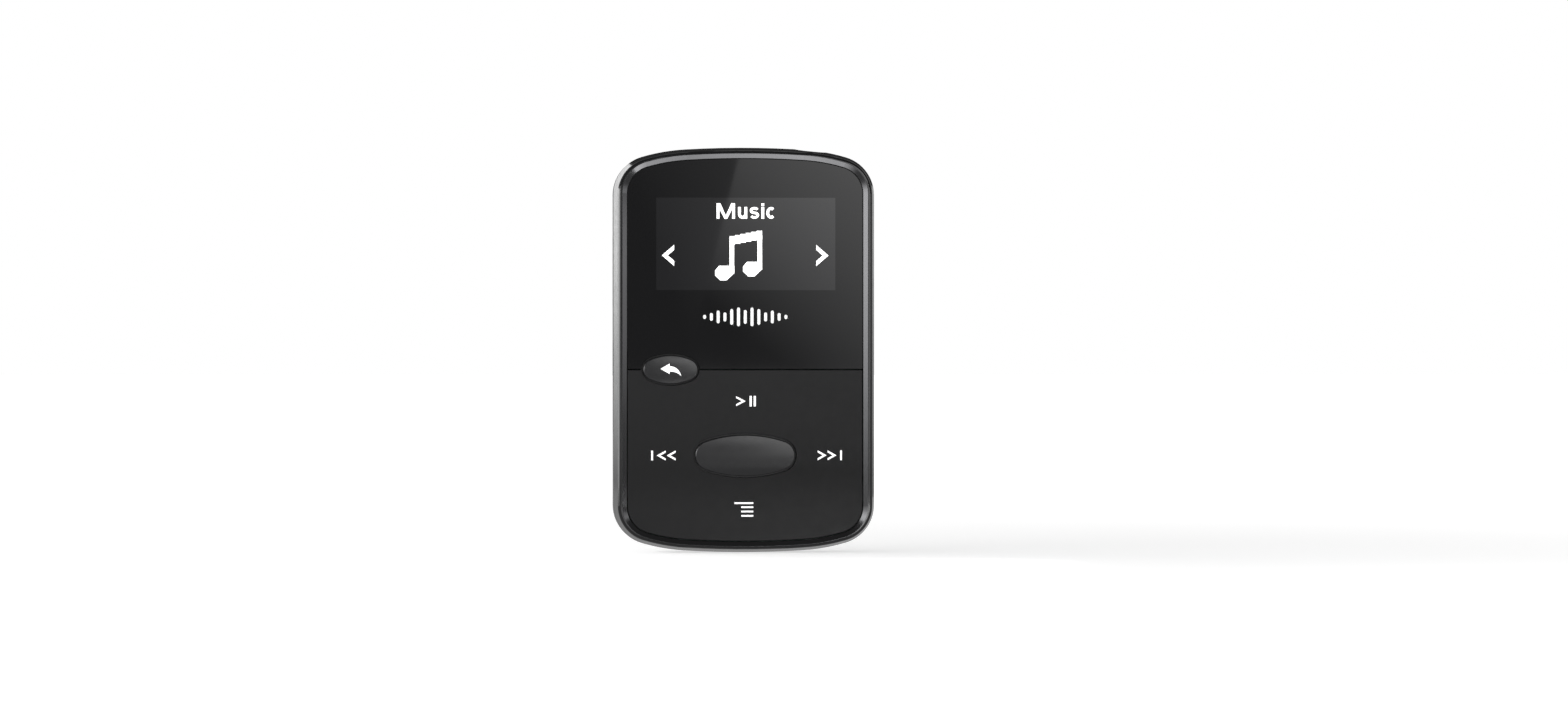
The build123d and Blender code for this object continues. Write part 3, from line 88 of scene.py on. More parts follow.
def add_node(tree, kind, inputs=None, **settings):
    """Adds a node, sets its properties, and sets or links its inputs."""
    node = tree.nodes.new(kind)
    for key, value in settings.items():
        setattr(node, key, value)
    for key, value in (inputs or {}).items():
        if isinstance(value, bpy.types.NodeSocket):
            tree.links.new(value, node.inputs[key])
        else:
            node.inputs[key].default_value = value
    return node


def object_coords(tree):
    """A piece's own coordinates, in metres."""
    return add_node(tree, "ShaderNodeTexCoord").outputs["Object"]


def noise(tree, scale, detail=3.0, roughness=0.5, coords=None):
    coords = coords or object_coords(tree)
    inputs = {"Vector": coords, "Scale": scale, "Detail": detail, "Roughness": roughness}
    return add_node(tree, "ShaderNodeTexNoise", inputs)


def remap(tree, value, low, high, from_low=0.0, from_high=1.0):
    """Turns the range from_low to from_high into low to high."""
    inputs = {
        "Value": value, "From Min": from_low, "From Max": from_high,
        "To Min": low, "To Max": high,
    }
    return add_node(tree, "ShaderNodeMapRange", inputs).outputs["Result"]


def ramp(tree, value, stops):
    """A colour ramp; stops are (position, (r, g, b))."""
    node = add_node(tree, "ShaderNodeValToRGB", {"Fac": value})
    elements = node.color_ramp.elements
    while len(elements) < len(stops):
        elements.new(0.5)
    for element, (position, colour) in zip(elements, stops):
        element.position = position
        element.color = (*colour, 1.0)
    return node.outputs["Color"]


def bump(tree, height, strength, distance):
    inputs = {"Height": height, "Strength": strength, "Distance": distance}
    return add_node(tree, "ShaderNodeBump", inputs).outputs["Normal"]


# --------------------------------------------------------------------- materials

def plastic(name, dark, light, rough, grain_scale, grain_depth, ior=1.5):
    """Moulded plastic: slight colour variation, a fine surface grain and uneven gloss."""
    material, tree, shader = new_material(name)
    coords = object_coords(tree)
    cloud = noise(tree, 60.0, 4.0, 0.6, coords).outputs["Fac"]
    grain = noise(tree, grain_scale, 2.0, 0.6, coords).outputs["Fac"]
    handled = noise(tree, 900.0, 3.0, 0.5, coords).outputs["Fac"]
    tree.links.new(ramp(tree, cloud, [(0.3, dark), (0.7, light)]), shader.inputs["Base Color"])
    tree.links.new(
        remap(tree, handled, rough[0], rough[1], 0.3, 0.7), shader.inputs["Roughness"]
    )
    tree.links.new(bump(tree, grain, 1.0, grain_depth), shader.inputs["Normal"])
    shader.inputs["IOR"].default_value = ior
    return material


def metal(name, dark, light, rough, scratch_scale, depth=0.000002):
    """Plated or drawn metal with fine directional scratches."""
    material, tree, shader = new_material(name)
    coords = object_coords(tree)
    stretched = add_node(
        tree, "ShaderNodeMapping", {"Vector": coords, "Scale": (1.0, 1.0, 12.0)}
    ).outputs["Vector"]
    streaks = noise(tree, scratch_scale, 3.0, 0.6, stretched).outputs["Fac"]
    tree.links.new(ramp(tree, streaks, [(0.3, dark), (0.7, light)]), shader.inputs["Base Color"])
    tree.links.new(remap(tree, streaks, rough[0], rough[1]), shader.inputs["Roughness"])
    tree.links.new(bump(tree, streaks, 0.6, depth), shader.inputs["Normal"])
    shader.inputs["Metallic"].default_value = 1.0
    return material


def glow(name, colour, strength, base=0.8):
    """Lit display pixels, and a painted glow that makes the printed symbols brighter than the
    light on them would.
    """
    material, tree, shader = new_material(name)
    grid = noise(tree, 2500.0, 1.0).outputs["Fac"]
    tree.links.new(
        ramp(tree, grid, [(0.3, tuple(c * 0.93 for c in colour)), (0.7, colour)]),
        shader.inputs["Emission Color"],
    )
    shader.inputs["Base Color"].default_value = (base, base, base, 1.0)
    shader.inputs["Roughness"].default_value = 0.5
    shader.inputs["Emission Strength"].default_value = strength
    return material


MATERIALS = {
    "front_plastic": plastic(
        "front_gloss_black", (0.0045, 0.0045, 0.005), (0.006, 0.006, 0.0068),
        (0.10, 0.16), 5200.0, 0.0000006,
    ),
    "rear_plastic": plastic(
        "rear_satin_black", (0.008, 0.008, 0.009), (0.012, 0.012, 0.013),
        (0.36, 0.46), 4200.0, 0.000006,
    ),
    "pad_plastic": plastic(
        "pad_satin_black", (0.007, 0.007, 0.0075), (0.009, 0.009, 0.0095),
        (0.40, 0.50), 5200.0, 0.0000035, ior=1.3,
    ),
    "button_plastic": plastic(
        "button_semi_gloss", (0.009, 0.009, 0.010), (0.012, 0.012, 0.013),
        (0.20, 0.26), 5200.0, 0.0000005,
    ),
    "side_key_plastic": plastic(
        "side_key_satin", (0.010, 0.010, 0.011), (0.014, 0.014, 0.015),
        (0.32, 0.42), 4800.0, 0.000003,
    ),
    "clip_plastic": plastic(
        "clip_satin_black", (0.009, 0.009, 0.010), (0.014, 0.014, 0.015),
        (0.34, 0.44), 3800.0, 0.000007,
    ),
    "elastomer": plastic(
        "jaw_rubber", (0.014, 0.014, 0.014), (0.022, 0.022, 0.022),
        (0.70, 0.85), 2600.0, 0.000012,
    ),
    "inner_plastic": plastic(
        "inner_plastic_grey", (0.05, 0.05, 0.055), (0.07, 0.07, 0.075),
        (0.5, 0.6), 3000.0, 0.000006,
    ),
    "silicone": plastic(
        "keypad_silicone", (0.35, 0.36, 0.38), (0.42, 0.43, 0.45),
        (0.45, 0.6), 2000.0, 0.000004,
    ),
    "jack_plastic": plastic(
        "jack_black", (0.012, 0.012, 0.013), (0.018, 0.018, 0.019),
        (0.30, 0.40), 3000.0, 0.000003,
    ),
    "port_plastic": plastic(
        "port_black", (0.014, 0.014, 0.014), (0.02, 0.02, 0.02),
        (0.4, 0.5), 3000.0, 0.000003,
    ),
    "board": plastic(
        "solder_mask_green", (0.004, 0.045, 0.02), (0.006, 0.065, 0.03),
        (0.3, 0.4), 3000.0, 0.000003,
    ),
    "chip_plastic": plastic(
        "moulded_chip", (0.015, 0.015, 0.016), (0.022, 0.022, 0.023),
        (0.55, 0.7), 4000.0, 0.000004,
    ),
    "ceramic": plastic(
        "capacitor_ceramic", (0.22, 0.16, 0.11), (0.28, 0.21, 0.15),
        (0.5, 0.6), 4000.0, 0.000003,
    ),
    "display_glass": plastic(
        "display_glass_dark", (0.010, 0.011, 0.013), (0.013, 0.014, 0.017),
        (0.05, 0.08), 3000.0, 0.0000002,
    ),
    "flex_film": plastic(
        "flex_film_amber", (0.30, 0.12, 0.015), (0.38, 0.16, 0.02),
        (0.3, 0.4), 3000.0, 0.000002,
    ),
    "foam": plastic(
        "foam_dark", (0.03, 0.03, 0.03), (0.05, 0.05, 0.05),
        (0.8, 0.95), 2500.0, 0.00003,
    ),
    "adhesive": plastic(
        "tape_black", (0.01, 0.01, 0.01), (0.014, 0.014, 0.014),
        (0.6, 0.7), 3000.0, 0.000004,
    ),
    "trim_metal": metal(
        "smoke_plating", (0.06, 0.06, 0.062), (0.07, 0.07, 0.072), (0.14, 0.2), 2600.0,
        0.0000004,
    ),
    "battery_foil": metal(
        "battery_foil", (0.50, 0.51, 0.53), (0.62, 0.63, 0.65), (0.28, 0.42), 1800.0,
    ),
    "wire_red": plastic(
        "wire_red", (0.35, 0.012, 0.01), (0.42, 0.02, 0.015), (0.35, 0.45), 3000.0, 0.000002,
    ),
    "wire_black": plastic(
        "wire_black", (0.01, 0.01, 0.01), (0.015, 0.015, 0.015), (0.35, 0.45), 3000.0, 0.000002,
    ),
    "steel": metal(
        "plated_steel", (0.52, 0.52, 0.53), (0.68, 0.68, 0.69), (0.2, 0.34), 2400.0,
    ),
    "spring_steel": metal(
        "spring_wire", (0.38, 0.38, 0.39), (0.52, 0.52, 0.53), (0.25, 0.38), 3000.0,
    ),
    "contact_metal": metal(
        "gold_contact", (0.72, 0.50, 0.20), (0.85, 0.62, 0.28), (0.2, 0.3), 2400.0,
    ),
}


WINDOW_HALF = (14.8 * MM, 7.62 * MM)
WINDOW_MID = (0.1 * MM, DISPLAY_MID_Z)
EDGE = 0.03 * MM
LENS_BLACK = (0.004, 0.004, 0.0045)
WINDOW_GREY = (0.008, 0.008, 0.009)


def lens_material():
    """Polished black display cover: the window over the display is a little less black."""
    material, tree, shader = new_material("lens_polished_black")
    coords = object_coords(tree)
    split = add_node(tree, "ShaderNodeSeparateXYZ", {"Vector": coords}).outputs

    def inside(value, middle, half):
        away = add_node(tree, "ShaderNodeMath", {0: value, 1: middle}, operation="SUBTRACT")
        size = add_node(tree, "ShaderNodeMath", {0: away.outputs[0]}, operation="ABSOLUTE")
        return remap(tree, size.outputs[0], 1.0, 0.0, half - EDGE, half + EDGE)

    across = inside(split["X"], WINDOW_MID[0], WINDOW_HALF[0])
    up = inside(split["Z"], WINDOW_MID[1], WINDOW_HALF[1])
    window = add_node(tree, "ShaderNodeMath", {0: across, 1: up}, operation="MULTIPLY")
    colour = ramp(tree, window.outputs[0], [(0.0, LENS_BLACK), (1.0, WINDOW_GREY)])
    tree.links.new(colour, shader.inputs["Base Color"])
    smear = noise(tree, 45.0, 4.0, 0.55, coords).outputs["Fac"]
    tree.links.new(remap(tree, smear, 0.025, 0.055, 0.3, 0.7), shader.inputs["Roughness"])
    shader.inputs["IOR"].default_value = 1.49
    tree.links.new(remap(tree, window.outputs[0], 0.0, 0.45), shader.inputs["Coat Weight"])
    return material


MATERIALS["lens"] = lens_material()
# The printed white symbols get a painted glow: emission that lifts them above the light that falls
# on them, though nothing lights them from within.
PRINT_WHITE_PAINTED_GLOW = glow("printed_white_painted_glow", (1.0, 1.0, 1.0), 0.62)
# The printed level bars on the lens get a painted glow as well: emission in place of the light
# that falls on them.
PRINT_SILVER_PAINTED_GLOW = glow("printed_silver_painted_glow", (1.0, 1.0, 1.0), 0.42, 0.6)
PIXEL_WHITE = glow("lit_pixels", (1.0, 1.0, 1.0), 1.0)

SLOT_OF = {part["node"]: part["material_slot"] for part in frame["record"]["subparts"]}
for node_name, node in NODES.items():
    node.data.materials.clear()
    node.data.materials.append(MATERIALS[SLOT_OF[node_name]])

BODY_OF = {
    node: body for body, parts in frame["record"]["behaviour"]["bodies"].items() for node in parts
}
PRINT_THICK = 0.012 * MM
PRINT_SINK = 0.02 * MM
SPLIT_ROUNDS = 3
MITRE_FLOOR = 0.3  # keeps sharp corners from reaching too far out


# --------------------------------------------------------- thin shapes on surfaces

# Where the rays that place the plates start, outside the player on each side
FRONT_START = -20 * MM
LEFT_START = -40 * MM
TOP_START = 60 * MM


def out_front(u, v):
    """A point in front of the player, and the way in: u is X and v is Z."""
    return Vector((u * MM, FRONT_START, v * MM)), Vector((0, 1, 0))


def out_left(u, v):
    """The same from the left side: u is Y and v is Z."""
    return Vector((LEFT_START, u * MM, v * MM)), Vector((1, 0, 0))


def out_top(u, v):
    """The same from above: u is X and v is Y."""
    return Vector((u * MM, v * MM, TOP_START)), Vector((0, 0, -1))


def laid_on(node_name, view, mesh_points):
    """Where points seen from one side fall on a node's surface."""
    placed = []
    for u, v in mesh_points:
        start, way_in = view(u, v)
        hit, place, _, _ = NODES[node_name].ray_cast(start, way_in)
        if not hit:
            raise ValueError(f"nothing of {node_name} lies under {u}, {v}")
        placed.append(place)
    return placed


def emblem(name, outlines, node_name, view, material, fine=0.0):
    """Thin raised plates that follow a node's surface, from outlines in millimetres.

    On a curved surface, edges longer than fine are split first.
    """
    build = bmesh.new()
    for outline in outlines:
        build.faces.new([build.verts.new((u, v, 0)) for u, v in outline])
    bmesh.ops.triangulate(build, faces=build.faces)
    if fine:
        for _ in range(SPLIT_ROUNDS):
            long_edges = [e for e in build.edges if e.calc_length() > fine]
            bmesh.ops.subdivide_edges(build, edges=long_edges, cuts=1)
            bmesh.ops.triangulate(build, faces=build.faces)
    way_out = -view(0, 0)[1]
    placed = laid_on(node_name, view, [(v.co.x, v.co.y) for v in build.verts])
    for vert, place in zip(build.verts, placed):
        vert.co = place - way_out * PRINT_SINK
    flat = list(build.faces)
    raised = bmesh.ops.extrude_face_region(build, geom=flat, use_keep_orig=True)
    top = [v for v in raised["geom"] if isinstance(v, bmesh.types.BMVert)]
    bmesh.ops.translate(build, verts=top, vec=way_out * (PRINT_THICK + PRINT_SINK))
    bmesh.ops.recalc_face_normals(build, faces=build.faces)
    mesh = bpy.data.meshes.new(name)
    build.to_mesh(mesh)
    build.free()
    piece = bpy.data.objects.new(name, mesh)
    bpy.context.scene.collection.objects.link(piece)
    mesh.materials.append(material)
    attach(piece, BODY_OF[node_name])
    return piece


def stroke(points, width, round_steps=6):
    """The outline of a line of even width with round ends and mitred corners."""
    half = width / 2
    count = len(points)
    left, right = [], []
    for i, point in enumerate(points):
        here = Vector(point)
        before = (here - Vector(points[i - 1])).normalized() if i > 0 else None
        after = (Vector(points[i + 1]) - here).normalized() if i < count - 1 else None
        if before is None:
            side = Vector((-after.y, after.x)) * half
        elif after is None:
            side = Vector((-before.y, before.x)) * half
        else:
            along = (before + after).normalized()
            mitre = Vector((-along.y, along.x))
            side = mitre * (half / max(mitre.dot(Vector((-before.y, before.x))), MITRE_FLOOR))
        left.append(here + side)
        right.append(here - side)

    def cap(centre, start):
        steps = [-math.pi * k / round_steps for k in range(1, round_steps)]
        return [centre + Matrix.Rotation(a, 2) @ (start - centre) for a in steps]

    end_cap = cap(Vector(points[-1]), left[-1])
    start_cap = cap(Vector(points[0]), right[0])
    return [tuple(p) for p in left + end_cap + right[::-1] + start_cap]


def butt(points, width):
    """The outline of a line of even width with square-cut ends."""
    return stroke(points, width, round_steps=1)


def bar(u_low, u_high, v_low, v_high):
    return [(u_low, v_low), (u_high, v_low), (u_high, v_high), (u_low, v_high)]


def arc(mid, radii, start, end, steps=12):
    """Points on an ellipse, with angles in degrees."""
    angles = [math.radians(start + (end - start) * k / steps) for k in range(steps + 1)]
    return [(mid[0] + radii[0] * math.cos(a), mid[1] + radii[1] * math.sin(a)) for a in angles]


def arrow_head(tip, end, mid_v, rise, thick):
    """A bent bar that points along U, with ends cut upright; thick is measured along U."""
    inner = tip + math.copysign(thick, end - tip)
    cut = rise * abs(end - inner) / abs(end - tip)
    return [
        (tip, mid_v), (end, mid_v + rise), (end, mid_v + cut),
        (inner, mid_v), (end, mid_v - cut), (end, mid_v - rise),
    ]


def bend(start, pull, end, steps=10):
    """Points on a curve from start to end that leaves and arrives towards pull."""
    shares = [k / steps for k in range(steps + 1)]
    return [
        tuple(
            (1 - t) ** 2 * a + 2 * t * (1 - t) * b + t * t * c
            for a, b, c in zip(start, pull, end)
        )
        for t in shares
    ]


# --------------------------------------------------------------- display content

# All in millimetres on the lens: baseline, small-letter height and capital height of the title,
# then the letters from left to right, the note and the arrows
TITLE_LEVELS = (21.66, 23.6, 24.2)
TITLE_PEN = 0.47
M_SPAN = (-4.74, -1.7)
M_TIP = 1.3
U_SPAN = (-1.2, 0.32)
S_SPAN = (0.74, 2.28)
S_PEN = 0.42
I_LEFT = 2.66
I_DOT = 0.44
C_SPAN = (3.48, 5.03)
NOTE_LEFT = -2.6
NOTE_RIGHT = 2.78
NOTE_STEM = 0.76
STEM_FOOT = 1.1  # the stems run into the heads and the beam
STEM_TOP = 0.5
NOTE_TOP = (18.78, 19.67)
NOTE_LOW = (11.47, 12.13)
NOTE_HEAD = (3.15, 2.42)
BEAM_STEPS = 6
BEAM_THICK = 1.43
ARROW_X = (13.76, 11.75)
ARROW_MID_Z = 15.6
ARROW_RISE = 1.74
ARROW_THICK = 0.96


def title_letters():
    """The menu's title as flat outlines, in plain bold sans letters."""
    low, small, tall = TITLE_LEVELS
    pen = TITLE_PEN
    half = pen / 2
    left, right = M_SPAN
    point = (left + right) / 2
    slope = [(left, tall), (left + M_TIP * pen, tall), (point + half, low), (point - half, low)]
    letter_m = [
        bar(left, left + pen, low, tall),
        bar(right - pen, right, low, tall),
        slope,
        [(left + right - u, v) for u, v in slope],
    ]
    left, right = U_SPAN
    bowl = (right - left - pen) / 2
    cup = arc(((left + right) / 2, low + bowl + half), (bowl, bowl), 180, 360)
    letter_u = [
        butt([(left + half, small), *cup], pen),
        bar(right - pen, right, low, small),
    ]
    left, right = S_SPAN
    loop = ((right - left - S_PEN) / 2, (small - low - S_PEN) / 4)
    upper = arc(((left + right) / 2, small - S_PEN / 2 - loop[1]), loop, 25, 235)
    lower = arc(((left + right) / 2, low + S_PEN / 2 + loop[1]), loop, 55, -155)
    letter_s = [butt([*upper, *lower], S_PEN)]
    left = I_LEFT
    letter_i = [bar(left, left + pen, low, small), bar(left, left + pen, tall - I_DOT, tall)]
    left, right = C_SPAN
    hoop = ((right - left - pen) / 2, (small - low - pen) / 2)
    letter_c = [butt(arc(((left + right) / 2, (low + small) / 2), hoop, 48, 312, 16), pen)]
    return letter_m + letter_u + letter_s + letter_i + letter_c


def beam_of_note():
    """The note's beam, which climbs in pixel steps between its two stems."""
    run = (NOTE_RIGHT - NOTE_LEFT) / BEAM_STEPS
    climb = (NOTE_TOP[1] - NOTE_TOP[0]) / (BEAM_STEPS - 1)
    top, foot = [], []
    for k in range(BEAM_STEPS):
        level = NOTE_TOP[0] + k * climb
        top += [(NOTE_LEFT + k * run, level), (NOTE_LEFT + (k + 1) * run, level)]
        foot += [
            (NOTE_LEFT + k * run, level - BEAM_THICK),
            (NOTE_LEFT + (k + 1) * run, level - BEAM_THICK),
        ]
    return top + foot[::-1]


def head_of_note(right, low):
    """A note's head with cut corners, as shares of its size; its right edge is the stem's."""
    wide, high = NOTE_HEAD
    return [
        (right, low + high), (right - 0.79 * wide, low + high), (right - wide, low + 0.68 * high),
        (right - wide, low + 0.34 * high), (right - 0.73 * wide, low), (right - 0.4 * wide, low),
        (right, low + 0.5 * high),
    ]


def build_display():
    left_inner = NOTE_LEFT + NOTE_STEM
    note = [
        bar(NOTE_LEFT, left_inner, NOTE_LOW[0] + STEM_FOOT, NOTE_TOP[0] - STEM_TOP),
        bar(
            NOTE_RIGHT - NOTE_STEM, NOTE_RIGHT, NOTE_LOW[1] + STEM_FOOT, NOTE_TOP[1] - STEM_TOP
        ),
        beam_of_note(),
        head_of_note(left_inner, NOTE_LOW[0]),
        head_of_note(NOTE_RIGHT, NOTE_LOW[1]),
    ]
    emblem("display_note", note, "screen_lens", out_front, PIXEL_WHITE)
    for side, place in ((-1, "left"), (1, "right")):
        tip, end = (side * x for x in ARROW_X)
        arrow = [arrow_head(tip, end, ARROW_MID_Z, ARROW_RISE, ARROW_THICK)]
        emblem(f"display_arrow_{place}", arrow, "screen_lens", out_front, PIXEL_WHITE)
    letters = title_letters()
    emblem("display_title", letters, "screen_lens", out_front, PIXEL_WHITE)


build_display()


# --------------------------------------------------------------- printed symbols

# All in millimetres on the surface
SYMBOL_PEN = 0.3
CHEVRON_RISE = 0.82
CHEVRON_THICK = 0.62
PLAY_ABOVE = 8.95
PAUSE_BAR = (1.74, 0.36)
SKIP_BAR = 1.62
LEVEL_HEIGHTS = (0.7, 1.3, 2.1, 1.5, 2.6, 3.1, 2.3, 3.1, 2.6, 1.5, 2.1, 1.3, 0.7)
LEVEL_MID_Z = 5.45
LEVEL_PITCH = 1.12
LEVEL_PEN = 0.5
MENU_Z = (-25.28, -25.95, -26.66, -27.37)
MENU_LEFT = (-1.8, -0.67)
MENU_RIGHT = 1.32
MENU_PEN = 0.27
VOLUME_SIGN_STEP = 5.0
VOLUME_SIGN = (0.6, 0.1)  # half of a stroke's length and width
POWER_SIGN_R = 0.62
POWER_TICK = (0.15, 0.8)
POWER_PEN = 0.18


def chevron(tip_u, end_u, mid_v):
    """One arrow head of the printed symbols."""
    return arrow_head(tip_u, end_u, mid_v, CHEVRON_RISE, CHEVRON_THICK)


def upright(u, mid_v, height, pen=SYMBOL_PEN):
    return butt([(u, mid_v - height / 2), (u, mid_v + height / 2)], pen)


def build_pad_symbols():
    side_v = middle("select_button", 2) / MM
    play_v = side_v + PLAY_ABOVE
    symbols = {
        "play_pause": [
            chevron(0.07, -1.51, play_v),
            upright(0.89, play_v, *PAUSE_BAR),
            upright(1.57, play_v, *PAUSE_BAR),
        ],
        "previous": [
            upright(-15.38, side_v, SKIP_BAR),
            chevron(-14.62, -13.15, side_v),
            chevron(-12.98, -11.5, side_v),
        ],
        "next": [
            upright(15.85, side_v, SKIP_BAR),
            chevron(13.46, 11.98, side_v),
            chevron(15.1, 13.62, side_v),
        ],
        "menu": [
            butt([(MENU_LEFT[min(k, 1)], v), (MENU_RIGHT, v)], MENU_PEN)
            for k, v in enumerate(MENU_Z)
        ],
    }
    for name, outlines in symbols.items():
        emblem(f"symbol_{name}", outlines, "nav_pad", out_front, PRINT_WHITE_PAINTED_GLOW)


def build_return_symbol():
    """A bent arrow that points back to the left."""
    head_u = -12.5
    tail = (-10.56, -4.36)
    upper = bend((head_u, -2.66), (-11.0, -2.72), tail)
    lower = bend(tail, (-11.25, -3.55), (head_u, -3.56))
    outline = [(head_u, -3.98), (-13.99, -3.11), (head_u, -2.23)] + upper + lower[1:]
    emblem("symbol_return", [outline], "return_button", out_front, PRINT_WHITE_PAINTED_GLOW, fine=0.5)


def build_level_mark():
    """A row of sound-level bars printed on the lens."""
    first = -LEVEL_PITCH * (len(LEVEL_HEIGHTS) - 1) / 2
    bars = [
        stroke(
            [
                (first + k * LEVEL_PITCH, LEVEL_MID_Z - (height - LEVEL_PEN) / 2),
                (first + k * LEVEL_PITCH, LEVEL_MID_Z + (height - LEVEL_PEN) / 2),
            ],
            LEVEL_PEN,
        )
        for k, height in enumerate(LEVEL_HEIGHTS)
    ]
    emblem("level_mark", bars, "screen_lens", out_front, PRINT_SILVER_PAINTED_GLOW)


def build_side_symbols():
    """Plus and minus on the volume rocker, and a power sign on the power button."""
    u = middle("volume_rocker", 1) / MM
    v = middle("volume_rocker", 2) / MM
    up, down = v + VOLUME_SIGN_STEP, v - VOLUME_SIGN_STEP
    long, thin = VOLUME_SIGN
    plus = [
        bar(u - long, u + long, up - thin, up + thin),
        bar(u - thin, u + thin, up - long, up + long),
    ]
    minus = [bar(u - long, u + long, down - thin, down + thin)]
    emblem("symbol_volume_up", plus, "volume_rocker", out_left, PRINT_WHITE_PAINTED_GLOW)
    emblem("symbol_volume_down", minus, "volume_rocker", out_left, PRINT_WHITE_PAINTED_GLOW)
    mid = (middle("power_button", 0) / MM, middle("power_button", 1) / MM)
    ring = stroke(arc(mid, (POWER_SIGN_R, POWER_SIGN_R), 125, 415, 24), POWER_PEN)
    tick = stroke([(mid[0], mid[1] + end) for end in POWER_TICK], POWER_PEN)
    emblem("symbol_power", [ring, tick], "power_button", out_top, PRINT_WHITE_PAINTED_GLOW, fine=0.4)


build_pad_symbols()
build_return_symbol()
build_level_mark()
build_side_symbols()


# ------------------------------------------------------------------------ studio

# The camera: lens and sensor in millimetres, distance in metres, degrees to the left
LENS_LENGTH = 120.0
SENSOR = 36.0
CAMERA_DISTANCE = 0.8625
AZIMUTH = -3.5
SHIFT = (0.0247, -0.0080)

# The two cards that the lens mirrors, by the places on the lens where their edges show
LENS_CARD_GAP = 0.30
CARD_X = (-24.0, 24.0)
CARD_Z = (-4.2, 36.0)
EDGE_TOP = (-1.27, 31.3)
EDGE_FOOT = (-2.76, 25.2)
RIGHT_GLOW = (-0.37, (0.0258, 0.0282), (0.2, 3.0))
LEFT_GLOW = (0.11, (0.0127, 0.0044), (0.19, 3.0))

# Each glow is a level, its rise per millimetre along X and Z, and the least and most it reaches.
FLANK_CARD_Y = 176 * MM
FLANK_CARD = [
    (-113, -28), (-81, -28), (-81, 26), (-70, 55), (-45, 82), (-62, 100), (-100, 75), (-113, 30),
]
FLANK_GLOW = (1.25, (0.0, 0.034), (0.1, 1.9))
UNDER_CARD = [(-26, -50, -27), (-32, -84, -33), (45, -84, -33), (38, -50, -27)]
UNDER_GLOW = (4.2, (0.12, 0.0), (1.5, 9.0))
# Where each card's middle is and faces in plan, its width, its Z range and its glow
STANDING_CARDS = {
    "rim_card": ((-150, -12), (1, 0), 234, (-28, 52), 6.0, (0.0, 0.08), (1.0, 9.0)),
    "ring_card_left": (
        (-112, -162), (0.72, 0.69), 78, (-33, 50), 4.0, (0.0, 0.12), (0.5, 6.5)
    ),
    "ring_card_right": (
        (140, -131), (-0.8, 0.6), 40, (-9, 32), 1.5, (0.0, 0.045), (0.3, 3.0)
    ),
    "edge_card": ((72, 184), (-0.26, -0.97), 22, (-30, 40), 0.36, (0.0, 0.008), (0.1, 1.0)),
    "button_card": (
        (95, -500), (-0.19, 0.98), 300, (-60, 190), 1.4, (0.0105, 0.0075), (0.3, 3.6)
    ),
}

# The floor: its glow near the player and far off, the distances between which it changes, and the
# even glow that the player's own surfaces mirror
FLOOR_HALF = 6.0
FLOOR_GLOW = (0.62, 1.05)
FLOOR_FADE = (0.03, 0.35)
FLOOR_MIRRORED = 0.5

# How bright the surroundings are to the player's surfaces, by direction
FRONT_LEVEL = 0.2
FRONT_FADE = (-0.2, 0.2)
SIDE_LEVEL = 0.9
BACK_FADE = (0.72, 0.93)
BACK_LEVEL = 0.04
SKY_FADE = (0.5, 0.8)
SKY_LEVEL = 0.16


def emitter(name, corners, level, slope, limits):
    """A glowing card with its brightness rising evenly along X and Z, unseen by the camera."""
    mesh = bpy.data.meshes.new(name)
    mesh.from_pydata(corners, [], [tuple(range(len(corners)))])
    card = bpy.data.objects.new(name, mesh)
    bpy.context.scene.collection.objects.link(card)
    card.visible_camera = False
    material = bpy.data.materials.new(name)
    material.use_nodes = True
    tree = material.node_tree
    tree.nodes.clear()
    split = add_node(tree, "ShaderNodeSeparateXYZ", {"Vector": object_coords(tree)}).outputs
    total = level
    for axis, rise in zip("XZ", slope):
        inputs = {0: split[axis], 1: rise / MM, 2: total}
        total = add_node(tree, "ShaderNodeMath", inputs, operation="MULTIPLY_ADD").outputs[0]
    inputs = {"Value": total, "Min": limits[0], "Max": limits[1]}
    held = add_node(tree, "ShaderNodeClamp", inputs).outputs["Result"]
    shine = add_node(tree, "ShaderNodeEmission", {"Strength": held})
    output = add_node(tree, "ShaderNodeOutputMaterial")
    tree.links.new(shine.outputs["Emission"], output.inputs["Surface"])
    mesh.materials.append(material)
    return card


def standing_card(name, middle_at, facing, width, z_range, *glow_of_card):
    """An upright card, in millimetres, with its middle at (x, y) and its front facing a way."""
    along = Vector((-facing[1], facing[0])).normalized() * (width / 2)
    ends = [Vector(middle_at) - along, Vector(middle_at) + along]
    corners = [
        (ends[0].x * MM, ends[0].y * MM, z_range[0] * MM),
        (ends[1].x * MM, ends[1].y * MM, z_range[0] * MM),
        (ends[1].x * MM, ends[1].y * MM, z_range[1] * MM),
        (ends[0].x * MM, ends[0].y * MM, z_range[1] * MM),
    ]
    return emitter(name, corners, *glow_of_card)


def build_lens_cards():
    """Two cards in front that the flat lens mirrors, meeting in one slanted edge."""
    y = PANEL_FRONT_Y - LENS_CARD_GAP
    spread = 1 + LENS_CARD_GAP / CAMERA_DISTANCE
    drift = math.tan(math.radians(-AZIMUTH)) * LENS_CARD_GAP

    def seen(x, z):
        """The point of the card plane that the camera sees mirrored at a place on the lens."""
        return ((x * MM) * spread + drift, y, z * MM * spread)

    slant = (EDGE_TOP[0] - EDGE_FOOT[0]) / (EDGE_TOP[1] - EDGE_FOOT[1])
    edge_low = EDGE_FOOT[0] + slant * (CARD_Z[0] - EDGE_FOOT[1])
    edge_high = EDGE_FOOT[0] + slant * (CARD_Z[1] - EDGE_FOOT[1])
    right = [
        seen(edge_low, CARD_Z[0]), seen(CARD_X[1], CARD_Z[0]),
        seen(CARD_X[1], CARD_Z[1]), seen(edge_high, CARD_Z[1]),
    ]
    left = [
        seen(CARD_X[0], CARD_Z[0]), seen(edge_low, CARD_Z[0]),
        seen(edge_high, CARD_Z[1]), seen(CARD_X[0], CARD_Z[1]),
    ]
    emitter("lens_card_right", right, *RIGHT_GLOW)
    emitter("lens_card_left", left, *LEFT_GLOW)


